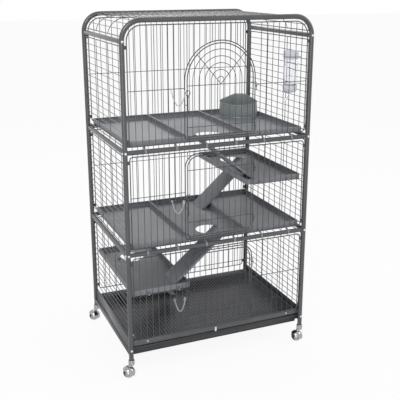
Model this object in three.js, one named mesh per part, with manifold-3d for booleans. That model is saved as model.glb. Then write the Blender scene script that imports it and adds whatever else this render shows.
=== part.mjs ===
// A tall ferret cage on ball casters: tube frame, wire panels, three doors, shelf pans and ramps.
// Millimetres, +Z up, front towards -Y. The origin is the middle of the footprint, on the floor.
import * as THREE from 'three';
import { mergeVertices } from 'three/addons/utils/BufferGeometryUtils.js';
import Module from 'manifold-3d';

const wasm = await Module();
wasm.setup();

// ---- Frame ----
const frameWidth = 894;        // between the post axes, left to right
const frameDepth = 629;        // between the post axes, front to back
const tierHeight = 466;        // from one rail level to the next
const baseRailHeight = 135;    // floor to the axis of the lowest rail
const tubeRadius = 11;
const archRadius = 85;         // centre line of the arch corners
const legDrop = 49;            // how far a leg reaches below the lowest rail axis
const seatGap = 0.3;           // clearance left where two pieces touch

// ---- Wire panels ----
const wireRadius = 1.5;        // mesh wire, section radius
const wireClearance = 0.05;    // mesh wires are held by the edge wire, and just clear the wires they cross
const edgeWire = 5;            // side of the square edge wire
const edgeInset = 20.6;        // post axis to the panel's edge wire
const panelTopInset = 20;      // rail axis down to the panel's top wire
const panelBottomInset = 25;   // rail axis up to the panel's bottom wire
const lowestPanelInset = 43;   // the same on the bottom tier, over the skirts and the grate
const panelCornerRadius = 12;
const barPitches = 29;         // spaces between upright bars across the front and the rear
const sidePitches = 14;        // spaces between level bars up a side panel
const roofPitches = 32;        // spaces between bars over the roof
const midWireDrop = 205;       // rail axis down to the level wire of the front and rear panels
const lugHeight = 7;
const lugInset = 24;           // panel corner to the middle of a lug

// ---- Doors ----
const openingLeft = -173;      // door opening, from the middle of the front
const openingRight = 165;
const openingBottom = 38;      // rail axis up to the opening's bottom wire
const openingDrop = 31;        // rail axis down to the opening's top wire
const openingCornerRadius = 60;
const fanCentreHeight = 290;   // rail axis up to the centre of the top door's fan
const doorGap = 11;            // middle of the opening wire to the middle of the door's edge wire
const doorProud = 2;           // the door's middle plane in front of the panel's
const fanSpacing = 29.4;       // between the nested arches of the top door
const fanRodDrop = 18;         // centre of the fan down to where its slanted rods meet
const upperPinDrop = 104;      // rail axis down to the upper hinge wire of a plain door
const fanPinRise = 271;        // rail axis up to the upper hinge wire of the top door
const lowerPinRise = 119;      // rail axis up to the lower hinge wire of a plain door
const fanLowerPinRise = 90;    // the same on the top door
const pinReach = 5;            // opening wire to the hinge axis, sideways
const pinProud = 4.4;          // panel's middle plane to the hinge axis
const pinLength = 38;
const eyeDrop = 18;            // hinge wire down to the eye that holds its pin
const eyeHeight = 5;
const eyeWall = 2.1;
const pinClearance = 0.6;      // between a pin and its eye
const pinRadius = 1.8;

// ---- Latches ----
const latchRodRadius = 3;
const latchRodLength = 80;
const latchProud = 8.4;        // panel's middle plane to the latch rod's axis
const latchEyeWall = 2;
const latchRingRadius = 11;
const latchRingWire = 1.8;
const latchFingerReach = 15;
const latchFingerHalf = 4;     // half the height of the finger
const guideClearance = 0.4;    // between a latch rod and its guides
const latchRise = 190;         // rail axis up to the middle of a latch rod

// ---- Shelves ----
const sheet = 1.5;             // sheet metal of pans, shelves, ramps and skirts
const shelfInset = 20;         // post axis to the end of the outer pans
const shelfDepthInset = 22;    // post axis to the front and rear walls of the pans
const shelfRise = 17;          // rail axis up to the underside of the pans
const shelfWall = 27;
const shelfGap = 1.5;          // between neighbouring pans
const holeRadius = 63;
const frontHoleInset = 142;    // front post axis to the middle of the holes near the front
const rearHoleInset = 142;     // rear post axis to the middle of the holes near the rear
const hookWidth = 8;
const hookThickness = 2.4;
const hookInset = 70;          // pan end to the middle of a hook
const hookRootRise = 8;        // a pan's underside up to the root of its hooks
const smallHookRootRise = 14;  // the same on a half shelf
const halfShelfDrop = 7;       // level wire down to a half shelf's underside

// ---- Ramps ----
const rampWidth = 126;
const rampFlange = 12;
const rampHeadCut = [6, 16];   // where the flange starts at the head, at the plate and at its lower edge
const rampFootCut = [5, 8];    // the same at the foot, beyond what the slope asks for
const rampTongueWidth = 30;
const rampTongueLength = 13;
const rampTongueTilt = THREE.MathUtils.degToRad(25);
const upperRampRun = 290;      // level distance from a hole's rim to where the ramp lands
const middleRampRun = 265;
const lowerRampRun = 268;
const floorRampRun = 283;

// ---- Litter pan ----
const litterRadius = 166;      // from the corner where the straight sides would meet to the round front
const litterCornerCut = 43;    // what the flat rear corner takes off each straight side
const litterEndRound = 28;     // where a straight side turns into the front
const litterTurn = 13;         // degrees that the pan stands askew
const litterTopShare = 0.9;    // the plan at the pan's full height over the plan at the floor
const litterBackHeight = 110;
const litterFrontHeight = 68;
const litterWall = 3;
const litterSideInset = 71;    // post axis to the pan's corner
const litterRearInset = 52.5;
const litterFoot = 6;
const litterFootInset = 5;

// ---- Water bottle ----
const bottleRadius = 33;
const bottleHeight = 160;
const bottleShoulder = 18;
const bottleRound = 6;         // the bottle's lower edge
const bottleTaper = 5;         // how far the shoulder draws in
const bottleInset = 40;        // side panel to the bottle's axis
const bottleFrontInset = 110;  // front post axis to the bottle's axis
const bottleBase = 230;        // top pans' rail axis up to the bottle's lower cap
const capRadius = 35;
const capHeight = 36;
const capChamfer = 2;
const capCrown = 4;            // how far the cap's top bulges
const spoutRadius = 5;
const spoutLength = 74;
const spoutTilt = THREE.MathUtils.degToRad(28);

// ---- Base ----
const skirtTop = 48;           // rail axis up to the skirt's upper edge
const skirtBottom = 30;        // rail axis down to the skirt's lower edge
const skirtLip = 22;           // height of the rolled lip
const ledgeWidth = 13;
const trayLedge = 9;           // rail axis up to the ledge that carries the tray
const grateLedge = 18;         // rail axis up to the ledge that carries the grate
const trayDepth = 45;
const trayInset = 16;          // post axis to the tray's side wall
const trayLipHeight = 24;
const trayRearInset = 40;
const grateWires = 58;         // spaces between the grate's front-to-rear wires
const grateRise = 21;          // rail axis up to the middle plane of the grate
const grateStripHeight = 24;
const grateStripDrop = 2;      // ledge down to the strip's lower edge
const grateCornerRadius = 6;
const tabWidth = 10;
const tabLength = 24;
const tabThickness = 2;
const tabX = -22;              // middle of the front to the turn tab
const tabPinRadius = 2.5;
const tabBoreRadius = 3;

// ---- Casters ----
const ballRadius = 25;
const casterTrail = 16;        // swivel axis to the middle of the ball
const collarRadius = 15;
const collarHeight = 24;
const hoodGap = 3.8;
const hoodWall = 2.6;
const hoodTilt = THREE.MathUtils.degToRad(32);
const bossRadius = 5;
const neckRadius = 9;
const ballSides = 12;          // flats round the ball's axis
const ballBands = 5;           // flat bands from pole to pole
const poleAngle = THREE.MathUtils.degToRad(13);

const halfWidth = frameWidth / 2;
const halfDepth = frameDepth / 2;
const railHeights = [0, 1, 2, 3].map((level) => baseRailHeight + level * tierHeight);
const archTop = railHeights[3] + archRadius;
const barPitch = (frameWidth - 2 * edgeInset) / barPitches;
const halfEdge = edgeWire / 2;
const wireSetting = wireRadius + wireClearance;  // from a panel's middle plane to its wires
const legEnd = baseRailHeight - legDrop;

const finish = {
  tube: { color: 0x25272b, roughness: 0.42, metalness: 0.35 },
  wire: { color: 0x2b2d31, roughness: 0.45, metalness: 0.35 },
  sheet: { color: 0x33363b, roughness: 0.55, metalness: 0.3 },
  zinc: { color: 0xb9bcc0, roughness: 0.3, metalness: 0.9 },
  chrome: { color: 0xd0d2d6, roughness: 0.12, metalness: 1 },
  litter: { color: 0x77807c, roughness: 0.35, metalness: 0 },
  clear: { color: 0xdfe8ea, roughness: 0.08, metalness: 0 },
};

// ---- Solids ----
function solidOf(geometry) {
  const plain = geometry.clone();
  plain.deleteAttribute('normal');
  plain.deleteAttribute('uv');
  const merged = mergeVertices(plain, 1e-4);
  const vertProperties = new Float32Array(merged.attributes.position.array);
  const corners = Array.from(merged.index.array);
  const isFlat = (i) => new Set(corners.slice(i, i + 3)).size < 3;
  const triVerts = new Uint32Array(corners.filter((unused, i) => !isFlat(i - (i % 3))));
  return new wasm.Manifold(new wasm.Mesh({ numProp: 3, vertProperties, triVerts }));
}

function geometryOf(solid) {
  const mesh = solid.getMesh();
  const geometry = new THREE.BufferGeometry();
  geometry.setAttribute('position', new THREE.BufferAttribute(mesh.vertProperties, 3));
  geometry.setIndex(new THREE.BufferAttribute(mesh.triVerts, 1));
  return geometry;
}

// Joins many pieces two by two, so that no join handles more than it must.
function unite(geometries) {
  let solids = geometries.map(solidOf);
  while (solids.length > 1) {
    const next = [];
    for (let i = 0; i < solids.length; i += 2) {
      next.push(i + 1 < solids.length ? solids[i].add(solids[i + 1]) : solids[i]);
    }
    solids = next;
  }
  return geometryOf(solids[0]);
}

function cut(geometry, tools) {
  let solid = solidOf(geometry);
  for (const tool of tools) solid = solid.subtract(solidOf(tool));
  return geometryOf(solid);
}

function keepInside(geometry, tool) {
  return geometryOf(solidOf(geometry).intersect(solidOf(tool)));
}

const point = (x, y, z) => new THREE.Vector3(x, y, z);

function block(low, high) {
  const geometry = new THREE.BoxGeometry(high.x - low.x, high.y - low.y, high.z - low.z);
  return geometry.translate((low.x + high.x) / 2, (low.y + high.y) / 2, (low.z + high.z) / 2);
}

// A straight bar with flat ends. One edge of its section points towards edgeDirection.
function bar(from, to, edgeDirection, radius = wireRadius, sides = 3) {
  const geometry = new THREE.CylinderGeometry(radius, radius, from.distanceTo(to), sides);
  const along = to.clone().sub(from).normalize();
  const edge = edgeDirection.clone().addScaledVector(along, -edgeDirection.dot(along)).normalize();
  const basis = new THREE.Matrix4().makeBasis(along.clone().cross(edge), along, edge);
  basis.setPosition(from.clone().lerp(to, 0.5));
  return geometry.applyMatrix4(basis);
}

const tube = (from, to, radius) => bar(from, to, point(0.2, 0.3, 1), radius, 12);

// An outline in the XY plane, made solid from z = low to z = high.
function slab(shape, low, high, curveSegments = 2) {
  const settings = { depth: high - low, bevelEnabled: false, curveSegments };
  return new THREE.ExtrudeGeometry(shape, settings).translate(0, 0, low);
}

function boxOutline(left, right, bottom, top, lowerRadius, upperRadius) {
  const shape = new THREE.Shape();
  shape.moveTo(left + lowerRadius, bottom);
  shape.lineTo(right - lowerRadius, bottom);
  shape.absarc(right - lowerRadius, bottom + lowerRadius, lowerRadius, -Math.PI / 2, 0);
  shape.lineTo(right, top - upperRadius);
  shape.absarc(right - upperRadius, top - upperRadius, upperRadius, 0, Math.PI / 2);
  shape.lineTo(left + upperRadius, top);
  shape.absarc(left + upperRadius, top - upperRadius, upperRadius, Math.PI / 2, Math.PI);
  shape.lineTo(left, bottom + lowerRadius);
  shape.absarc(left + lowerRadius, bottom + lowerRadius, lowerRadius, Math.PI, 1.5 * Math.PI);
  return shape;
}

// A square wire bent along an outline. outline(grow) gives the outline moved outwards by grow.
function edgeRing(outline, middle = 0, curveSegments = 1) {
  const shape = outline(halfEdge);
  shape.holes.push(outline(-halfEdge));
  return slab(shape, middle - halfEdge, middle + halfEdge, curveSegments);
}

const outward = point(0, 0, 1);
const inward = point(0, 0, -1);

// Upright bars are on the outer face of a panel, level wires on the inner face.
const uprightBar = (x, bottom, top) => bar(point(x, bottom, wireSetting), point(x, top, wireSetting), inward);
const levelBar = (left, right, y) => bar(point(left, y, wireSetting), point(right, y, wireSetting), inward);
const levelWire = (left, right, y) => bar(point(left, y, -wireSetting), point(right, y, -wireSetting), outward);
const uprightWire = (x, bottom, top) => bar(point(x, bottom, -wireSetting), point(x, top, -wireSetting), outward);

// Lugs reach from a panel's edge wires to the posts, near its corners.
function lugs(halfSpan, bottom, top) {
  const reach = halfSpan + edgeInset - tubeRadius - seatGap;
  const pieces = [];
  for (const y of [bottom + lugInset, top - lugInset]) {
    for (const side of [-1, 1]) {
      const ends = [side * (halfSpan + halfEdge / 2), side * reach].sort((a, b) => a - b);
      const low = point(ends[0], y - lugHeight / 2, -wireRadius);
      const high = point(ends[1], y + lugHeight / 2, wireRadius);
      pieces.push(block(low, high));
    }
  }
  return pieces;
}

// ---- Meshes ----
const cage = new THREE.Group();

function addMesh(name, geometry, look, parent = cage) {
  const shaded = geometryOf(solidOf(geometry)).toNonIndexed();
  shaded.computeVertexNormals();
  const mesh = new THREE.Mesh(shaded, new THREE.MeshStandardMaterial(finish[look]));
  mesh.name = name;
  parent.add(mesh);
  return mesh;
}

// Stands a flat panel, drawn in XY with its outer face towards +Z, on one side of the cage.
function standUp(mesh, turn, x, y) {
  mesh.rotation.set(Math.PI / 2, 0, turn, 'ZXY');
  mesh.position.set(x, y, 0);
  return mesh;
}

const frontWall = { turn: 0, x: 0, y: -halfDepth };
const rightWall = { turn: Math.PI / 2, x: halfWidth, y: 0 };
const rearWall = { turn: Math.PI, x: 0, y: halfDepth };
const leftWall = { turn: -Math.PI / 2, x: -halfWidth, y: 0 };
const place = (mesh, wall) => standUp(mesh, wall.turn, wall.x, wall.y);

// A tube through a flat row of stops, mitred at each of them. firstAngle turns its section about
// the route: at nought its first corner is in the plane of the route, at a quarter turn it is across it.
function sweep(stops, radius, sides, firstAngle = 0) {
  const flat = new THREE.Vector3();
  const start = stops[1].clone().sub(stops[0]);
  for (let i = 2; i < stops.length && flat.length() < 1e-3; i += 1) {
    flat.crossVectors(start, stops[i].clone().sub(stops[i - 1]));
  }
  flat.normalize();
  const positions = [];
  const index = [];
  stops.forEach((stop, i) => {
    const before = stop.clone().sub(stops[Math.max(i - 1, 0)]).normalize();
    const after = stops[Math.min(i + 1, stops.length - 1)].clone().sub(stop).normalize();
    const across = flat.clone().cross(before.clone().add(after).normalize());
    const isEnd = i === 0 || i === stops.length - 1;
    const stretch = isEnd ? 1 : Math.sqrt(2 / (1 + before.dot(after)));
    for (let k = 0; k < sides; k += 1) {
      const angle = firstAngle + (2 * Math.PI * k) / sides;
      const rim = stop.clone();
      rim.addScaledVector(across, radius * stretch * Math.cos(angle));
      rim.addScaledVector(flat, radius * Math.sin(angle));
      positions.push(rim.x, rim.y, rim.z);
    }
  });
  for (let i = 0; i + 1 < stops.length; i += 1) {
    for (let k = 0; k < sides; k += 1) {
      const a = i * sides + k;
      const b = i * sides + ((k + 1) % sides);
      index.push(a, b, b + sides, a, b + sides, a + sides);
    }
  }
  const last = (stops.length - 1) * sides;
  for (let k = 1; k + 1 < sides; k += 1) {
    index.push(0, k + 1, k);
    index.push(last, last + k, last + k + 1);
  }
  const geometry = new THREE.BufferGeometry();
  geometry.setAttribute('position', new THREE.Float32BufferAttribute(positions, 3));
  geometry.setIndex(index);
  return geometry;
}

// ---- Tube frame ----
// Both legs and the arch of one frame, around the world's Y axis.
function archGeometry(radius) {
  const steps = 6;
  const spread = halfWidth - archRadius;
  const stops = [point(-halfWidth, 0, legEnd)];
  for (const side of [-1, 1]) {
    for (let step = 0; step <= steps; step += 1) {
      const angle = ((side < 0 ? step : steps - step) / steps) * (Math.PI / 2);
      const x = side * (spread + archRadius * Math.cos(angle));
      stops.push(point(x, 0, railHeights[3] + archRadius * Math.sin(angle)));
    }
  }
  stops.push(point(halfWidth, 0, legEnd));
  return sweep(stops, radius, 12);
}

// The room that both arch frames need, which rails are cut back from.
const frameRoom = [-halfDepth, halfDepth].map((y) => archGeometry(tubeRadius + seatGap).translate(0, y, 0));

function addFrame() {
  addMesh('arch_frame_front', archGeometry(tubeRadius), 'tube').position.y = -halfDepth;
  addMesh('arch_frame_rear', archGeometry(tubeRadius), 'tube').position.y = halfDepth;
  const railStart = tubeRadius / 2;
  const across = (level, y, radius) => {
    const z = railHeights[level];
    return tube(point(railStart - halfWidth, y, z), point(halfWidth - railStart, y, z), radius);
  };
  const crossRail = (name, level, y) => addMesh(name, cut(across(level, y, tubeRadius), frameRoom), 'tube');
  crossRail('front_rail_lower', 1, -halfDepth);
  crossRail('front_rail_upper', 2, -halfDepth);
  crossRail('rear_rail_base', 0, halfDepth);
  crossRail('rear_rail_lower', 1, halfDepth);
  crossRail('rear_rail_upper', 2, halfDepth);
  const levelNames = ['base', 'lower', 'upper', 'top'];
  for (const [side, x] of [['left', -halfWidth], ['right', halfWidth]]) {
    for (let level = 1; level <= 3; level += 1) {
      const z = railHeights[level];
      const rail = tube(point(x, railStart - halfDepth, z), point(x, halfDepth - railStart, z), tubeRadius);
      const crossing = [-halfDepth, halfDepth].map((y) => across(level, y, tubeRadius + seatGap));
      addMesh(`side_rail_${side}_${levelNames[level]}`, cut(rail, [...frameRoom, ...crossing]), 'tube');
    }
  }
}

// ---- Wire panels ----
const tierNames = ['bottom', 'middle', 'top'];
const frontSpan = halfWidth - edgeInset;
const barPlaces = Array.from({ length: barPitches - 1 }, (unused, i) => (i + 1) * barPitch - frontSpan);

function tierEdges(tier) {
  const bottom = railHeights[tier] + (tier === 0 ? lowestPanelInset : panelBottomInset);
  const isTop = tier === 2;
  const top = isTop ? archTop - edgeInset : railHeights[tier + 1] - panelTopInset;
  const cornerRadius = isTop ? archRadius - edgeInset : panelCornerRadius;
  return { bottom, top, cornerRadius };
}

// How far a round corner has dropped at sideways distance x from the middle.
function cornerDrop(x, halfSpan, radius) {
  const into = Math.abs(x) - (halfSpan - radius);
  return into > 0 ? radius - Math.sqrt(Math.max(radius * radius - into * into, 0)) : 0;
}

function panelOutline(tier) {
  const { bottom, top, cornerRadius } = tierEdges(tier);
  return (grow) => boxOutline(-frontSpan - grow, frontSpan + grow, bottom - grow, top + grow,
    panelCornerRadius + grow, cornerRadius + grow);
}

// The edge wire of a front or rear panel, and its lugs. On the top tier they stay below the arch.
function panelEdge(tier) {
  const { bottom, top } = tierEdges(tier);
  const lugTop = Math.min(top, railHeights[tier + 1]);
  return [edgeRing(panelOutline(tier), 0, tier === 2 ? 3 : 1), ...lugs(frontSpan, bottom, lugTop)];
}

function rearPanel(tier) {
  const { bottom, top, cornerRadius } = tierEdges(tier);
  const pieces = panelEdge(tier);
  for (const x of barPlaces) pieces.push(uprightBar(x, bottom, top - cornerDrop(x, frontSpan, cornerRadius)));
  pieces.push(levelWire(-frontSpan, frontSpan, railHeights[tier + 1] - midWireDrop));
  return unite(pieces);
}

// ---- Doors and their openings ----
const openingMiddle = (openingLeft + openingRight) / 2;
const openingHalf = (openingRight - openingLeft) / 2;
const hingeX = openingRight + pinReach;
// The outline of an opening, or of the door's edge when shrunk by doorGap.
function doorOutline(tier, shrink) {
  const bottom = openingFloor(tier);
  const top = railHeights[tier + 1] - openingDrop;
  const centre = railHeights[tier] + fanCentreHeight;
  return (grow) => {
    const half = openingHalf - shrink + grow;
    const low = bottom + shrink - grow;
    const left = openingMiddle - half;
    const right = openingMiddle + half;
    if (tier === 2) {
      const shape = new THREE.Shape();
      shape.moveTo(left, low);
      shape.lineTo(right, low);
      shape.lineTo(right, centre);
      shape.absarc(openingMiddle, centre, half, 0, Math.PI);
      shape.lineTo(left, low);
      return shape;
    }
    const radius = openingCornerRadius - shrink + grow;
    return boxOutline(left, right, low, top - shrink + grow, panelCornerRadius + grow, radius);
  };
}

function openingFloor(tier) {
  const raised = tier === 0 ? lowestPanelInset - panelBottomInset : 0;
  return railHeights[tier] + openingBottom + raised;
}

// The height of an opening's upper wire, or of the door's, above sideways place x.
function openingCeiling(tier, x, shrink) {
  const half = openingHalf - shrink;
  const offset = x - openingMiddle;
  if (tier === 2) {
    return railHeights[2] + fanCentreHeight + Math.sqrt(half * half - offset * offset);
  }
  const top = railHeights[tier + 1] - openingDrop - shrink;
  return top - cornerDrop(offset, half, openingCornerRadius - shrink);
}

function pinHeights(tier) {
  if (tier === 2) return [railHeights[2] + fanPinRise, railHeights[2] + fanLowerPinRise];
  return [railHeights[tier + 1] - upperPinDrop, railHeights[tier] + lowerPinRise];
}

// A short upright sleeve of wire round the line x, z = proud, centred on height y.
function eye(x, y, proud, boreRadius, wall, sides = 8) {
  const reach = point(0, eyeHeight / 2, 0);
  const middle = point(x, y, proud);
  const low = middle.clone().sub(reach);
  const high = middle.clone().add(reach);
  const outer = bar(low, high, outward, boreRadius + wall, sides);
  const bore = bar(low.sub(reach), high.add(reach), outward, boreRadius, sides);
  return cut(outer, [bore]);
}

function frontPanel(tier) {
  const { bottom, top, cornerRadius } = tierEdges(tier);
  const pieces = panelEdge(tier);
  pieces.push(edgeRing(doorOutline(tier, 0), 0, tier === 2 ? 6 : 2));
  for (const x of barPlaces) {
    const ceiling = top - cornerDrop(x, frontSpan, cornerRadius);
    const inside = openingHalf - Math.abs(x - openingMiddle);
    if (inside < -edgeWire) {
      pieces.push(uprightBar(x, bottom, ceiling));
    } else if (inside > edgeWire) {
      pieces.push(uprightBar(x, bottom, openingFloor(tier)));
      pieces.push(uprightBar(x, openingCeiling(tier, x, 0), ceiling));
    }
  }
  const midHeight = railHeights[tier + 1] - midWireDrop;
  pieces.push(levelWire(-frontSpan, openingLeft, midHeight));
  pieces.push(levelWire(openingRight, frontSpan, midHeight));
  for (const height of pinHeights(tier)) {
    pieces.push(eye(hingeX, height - eyeDrop, pinProud, pinRadius + pinClearance, eyeWall));
  }
  return unite(pieces);
}

// Bars of a door lie behind its hinge wires.
const doorBarDepth = pinProud - 2 * wireSetting;

// A hinge wire crosses the door, passes its edge and is bent down as a pin.
function hingeWire(left, height) {
  const wire = bar(point(left, height, pinProud), point(hingeX, height, pinProud), inward);
  const pinTop = point(hingeX, height + wireRadius / 2, pinProud);
  const pin = bar(pinTop, point(hingeX, height - pinLength, pinProud), outward, pinRadius, 8);
  return [wire, pin];
}

const latchX = openingLeft + doorGap;
const guideBore = latchRodRadius + guideClearance;
const latchMiddle = (tier) => railHeights[tier] + latchRise;
const upperGuide = latchRodLength / 2 - latchRingWire - seatGap - eyeHeight / 2;
const lowerGuide = -latchRodLength / 3;

function latchGuides(tier) {
  const heights = [latchMiddle(tier) + upperGuide, latchMiddle(tier) + lowerGuide];
  return heights.map((height) => eye(latchX, height, latchProud, guideBore, latchEyeWall));
}

function plainDoor(tier) {
  const pieces = [edgeRing(doorOutline(tier, doorGap), doorProud, 2), ...latchGuides(tier)];
  const half = openingHalf - doorGap;
  for (const x of barPlaces) {
    if (Math.abs(x - openingMiddle) > half - edgeWire) continue;
    const low = point(x, openingFloor(tier) + doorGap, doorBarDepth);
    pieces.push(bar(low, point(x, openingCeiling(tier, x, doorGap), doorBarDepth), outward));
  }
  for (const height of pinHeights(tier)) pieces.push(...hingeWire(latchX, height));
  return unite(pieces);
}

// The top door: nested arches, each with its two legs, under two slanted rods.
function fanDoor() {
  const tier = 2;
  const low = openingFloor(tier) + doorGap;
  const centre = railHeights[tier] + fanCentreHeight;
  const rodRoot = point(openingMiddle, centre - fanRodDrop, pinProud);
  const half = openingHalf - doorGap;
  const pieces = [edgeRing(doorOutline(tier, doorGap), doorProud, 6), ...latchGuides(tier)];
  const steps = 10;
  for (let radius = fanSpacing / 2; radius < half - fanSpacing / 2; radius += fanSpacing) {
    const stops = [point(openingMiddle + radius, low, doorBarDepth)];
    for (let step = 0; step <= steps; step += 1) {
      const angle = (Math.PI * step) / steps;
      const x = openingMiddle + radius * Math.cos(angle);
      stops.push(point(x, centre + radius * Math.sin(angle), doorBarDepth));
    }
    stops.push(point(openingMiddle - radius, low, doorBarDepth));
    pieces.push(sweep(stops, wireRadius, 3, Math.PI / 2));
  }
  for (const side of [-1, 1]) {
    const reach = half * Math.SQRT1_2;
    const end = point(openingMiddle + side * reach, centre + reach, pinProud);
    pieces.push(bar(rodRoot, end, inward));
  }
  for (const height of pinHeights(tier)) pieces.push(...hingeWire(latchX, height));
  return unite(pieces);
}

// A rod in two guides on the door, with a pull ring and a finger over the opening's side wire.
function slideLatch(tier) {
  const middle = latchMiddle(tier);
  const rodTop = middle + latchRodLength / 2;
  const fingerBack = latchProud - latchRodRadius / 2;
  const fingerFront = latchProud + latchRodRadius / 2;
  const rodFoot = point(latchX, rodTop - latchRodLength, latchProud);
  const rod = bar(rodFoot, point(latchX, rodTop, latchProud), outward, latchRodRadius, 10);
  const ring = new THREE.TorusGeometry(latchRingRadius, latchRingWire, 4, 12);
  ring.translate(latchX, rodTop + latchRingRadius, latchProud);
  const tip = latchX - latchFingerReach;
  const low = middle - latchFingerHalf;
  const high = middle + latchFingerHalf;
  const finger = block(point(tip, low, fingerBack), point(latchX, high, fingerFront));
  const catchTip = block(point(tip, low, halfEdge + seatGap), point(openingLeft + halfEdge, high, fingerFront));
  return unite([rod, ring, finger, catchTip]);
}

// ---- Side panels and roof ----
const sideSpan = halfDepth - edgeInset;
const supportPlace = sideSpan / 3;

function sidePanel(tier) {
  const bottom = tier === 0 ? railHeights[0] + skirtTop + seatGap + halfEdge : tierEdges(tier).bottom;
  const top = railHeights[tier + 1] - panelTopInset;
  const outline = (grow) => boxOutline(-sideSpan - grow, sideSpan + grow, bottom - grow, top + grow,
    panelCornerRadius + grow, panelCornerRadius + grow);
  const pieces = [edgeRing(outline), ...lugs(sideSpan, bottom, top)];
  for (let i = 1; i < sidePitches; i += 1) {
    pieces.push(levelBar(-sideSpan, sideSpan, bottom + ((top - bottom) * i) / sidePitches));
  }
  for (const x of [-supportPlace, supportPlace]) pieces.push(uprightWire(x, bottom, top));
  return unite(pieces);
}

const hoodStart = Math.asin(panelTopInset / archRadius);

// A band bent over both arch corners, between two distances from the arch's centre line.
function archBand(inner, outer, low, high) {
  const spread = halfWidth - archRadius;
  const shape = new THREE.Shape();
  shape.absarc(spread, railHeights[3], archRadius + outer, hoodStart, Math.PI / 2);
  shape.absarc(-spread, railHeights[3], archRadius + outer, Math.PI / 2, Math.PI - hoodStart);
  shape.absarc(-spread, railHeights[3], archRadius + inner, Math.PI - hoodStart, Math.PI / 2, true);
  shape.absarc(spread, railHeights[3], archRadius + inner, Math.PI / 2, hoodStart, true);
  return slab(shape, -high, -low, 3).rotateX(Math.PI / 2);
}

// The roof's bars run front to rear. They lie on two hoops, and their ends are in the end hoops.
function roofPanel() {
  const spread = halfWidth - archRadius;
  const arc = archRadius * (Math.PI / 2 - hoodStart);
  const length = 2 * (arc + spread);
  const pieces = [];
  for (const y of [-sideSpan, sideSpan]) pieces.push(archBand(-halfEdge, halfEdge, y - halfEdge, y + halfEdge));
  for (const y of [-supportPlace, supportPlace]) pieces.push(archBand(-halfEdge, 0, y - wireRadius, y + wireRadius));
  for (let i = 0; i <= roofPitches; i += 1) {
    const along = (i / roofPitches) * length - length / 2;
    const bend = Math.max(Math.abs(along) - spread, 0) / archRadius;
    const normal = point(Math.sign(along) * Math.sin(bend), 0, Math.cos(bend));
    const isEdge = i === 0 || i === roofPitches;
    const middle = point(Math.sign(along) * Math.min(Math.abs(along), spread), 0, railHeights[3]);
    middle.addScaledVector(normal, archRadius + (isEdge ? 0 : wireSetting));
    const from = middle.clone().setY(-sideSpan);
    const to = middle.clone().setY(sideSpan);
    pieces.push(bar(from, to, normal.clone().negate(), isEdge ? halfEdge : wireRadius, isEdge ? 4 : 3));
  }
  for (const x of [-spread + lugInset, spread - lugInset]) {
    for (const side of [-1, 1]) {
      const ends = [side * sideSpan, side * (halfDepth - tubeRadius - seatGap)].sort((a, b) => a - b);
      pieces.push(block(point(x - lugHeight / 2, ends[0], archTop - wireRadius),
        point(x + lugHeight / 2, ends[1], archTop + wireRadius)));
    }
  }
  return unite(pieces);
}

function addPanels() {
  for (let tier = 0; tier < 3; tier += 1) {
    const name = tierNames[tier];
    place(addMesh(`front_panel_${name}`, frontPanel(tier), 'wire'), frontWall);
    place(addMesh(`rear_panel_${name}`, rearPanel(tier), 'wire'), rearWall);
    place(addMesh(`side_panel_left_${name}`, sidePanel(tier), 'wire'), leftWall);
    place(addMesh(`side_panel_right_${name}`, sidePanel(tier), 'wire'), rightWall);
    place(addMesh(`door_${name}`, tier === 2 ? fanDoor() : plainDoor(tier), 'wire'), frontWall);
    place(addMesh(`latch_slide_${name}`, slideLatch(tier), 'wire'), frontWall);
  }
  addMesh('roof_panel', roofPanel(), 'wire');
}

// ---- Shelves ----
const railTop = (level) => railHeights[level] + shelfRise;
const shelfSpan = frameWidth - 2 * shelfInset;
const thirdWidth = (shelfSpan - 2 * shelfGap) / 3;
const thirdStart = (index) => shelfInset - halfWidth + index * (thirdWidth + shelfGap);
const panFront = shelfDepthInset - halfDepth;
const panRear = -panFront;
const frontHoleY = frontHoleInset - halfDepth;
const rearHoleY = halfDepth - rearHoleInset;
const middleHoleX = thirdStart(1) + thirdWidth / 2;
const leftHoleX = thirdStart(0) + thirdWidth / 2;
const rightHoleX = thirdStart(2) + thirdWidth / 2;
const midWireHeight = (tier) => railHeights[tier + 1] - midWireDrop;
const halfShelfHeight = (tier) => midWireHeight(tier) - halfShelfDrop;

// A strap from a pan's wall over a rod that lies beside it, drawn for the rear wall.
function hook(x, rodY, rodZ, rodRadius, wallZ) {
  const inner = (rodRadius + seatGap) / Math.cos(Math.PI / 9.6);
  const outer = inner + hookThickness;
  const steps = 4;
  const first = THREE.MathUtils.degToRad(130);
  const last = THREE.MathUtils.degToRad(-20);
  const shape = new THREE.Shape();
  const arm = panRear - sheet / 2 - rodY;
  shape.moveTo(arm, wallZ - rodZ);
  const turn = (step) => first + ((last - first) * step) / steps;
  for (let i = 0; i <= steps; i += 1) shape.lineTo(inner * Math.cos(turn(i)), inner * Math.sin(turn(i)));
  for (let i = steps; i >= 0; i -= 1) shape.lineTo(outer * Math.cos(turn(i)), outer * Math.sin(turn(i)));
  shape.lineTo(arm, wallZ - rodZ + hookThickness * 1.4);
  const strap = slab(shape, -hookWidth / 2, hookWidth / 2);
  strap.applyMatrix4(new THREE.Matrix4().makeBasis(point(0, 1, 0), point(0, 0, 1), point(1, 0, 0)));
  return strap.translate(x, rodY, rodZ);
}

function railPan(index, level, holes) {
  const left = thirdStart(index);
  const wallZ = railTop(level) + hookRootRise;
  const places = [left + hookInset, left + thirdWidth - hookInset];
  const straps = places.map((x) => hook(x, halfDepth, railHeights[level], tubeRadius, wallZ));
  const mirrored = places.map((x) => hook(-x, halfDepth, railHeights[level], tubeRadius, wallZ).rotateZ(Math.PI));
  return sheetPan(left, railTop(level), holes, [...straps, ...mirrored]);
}

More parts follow.
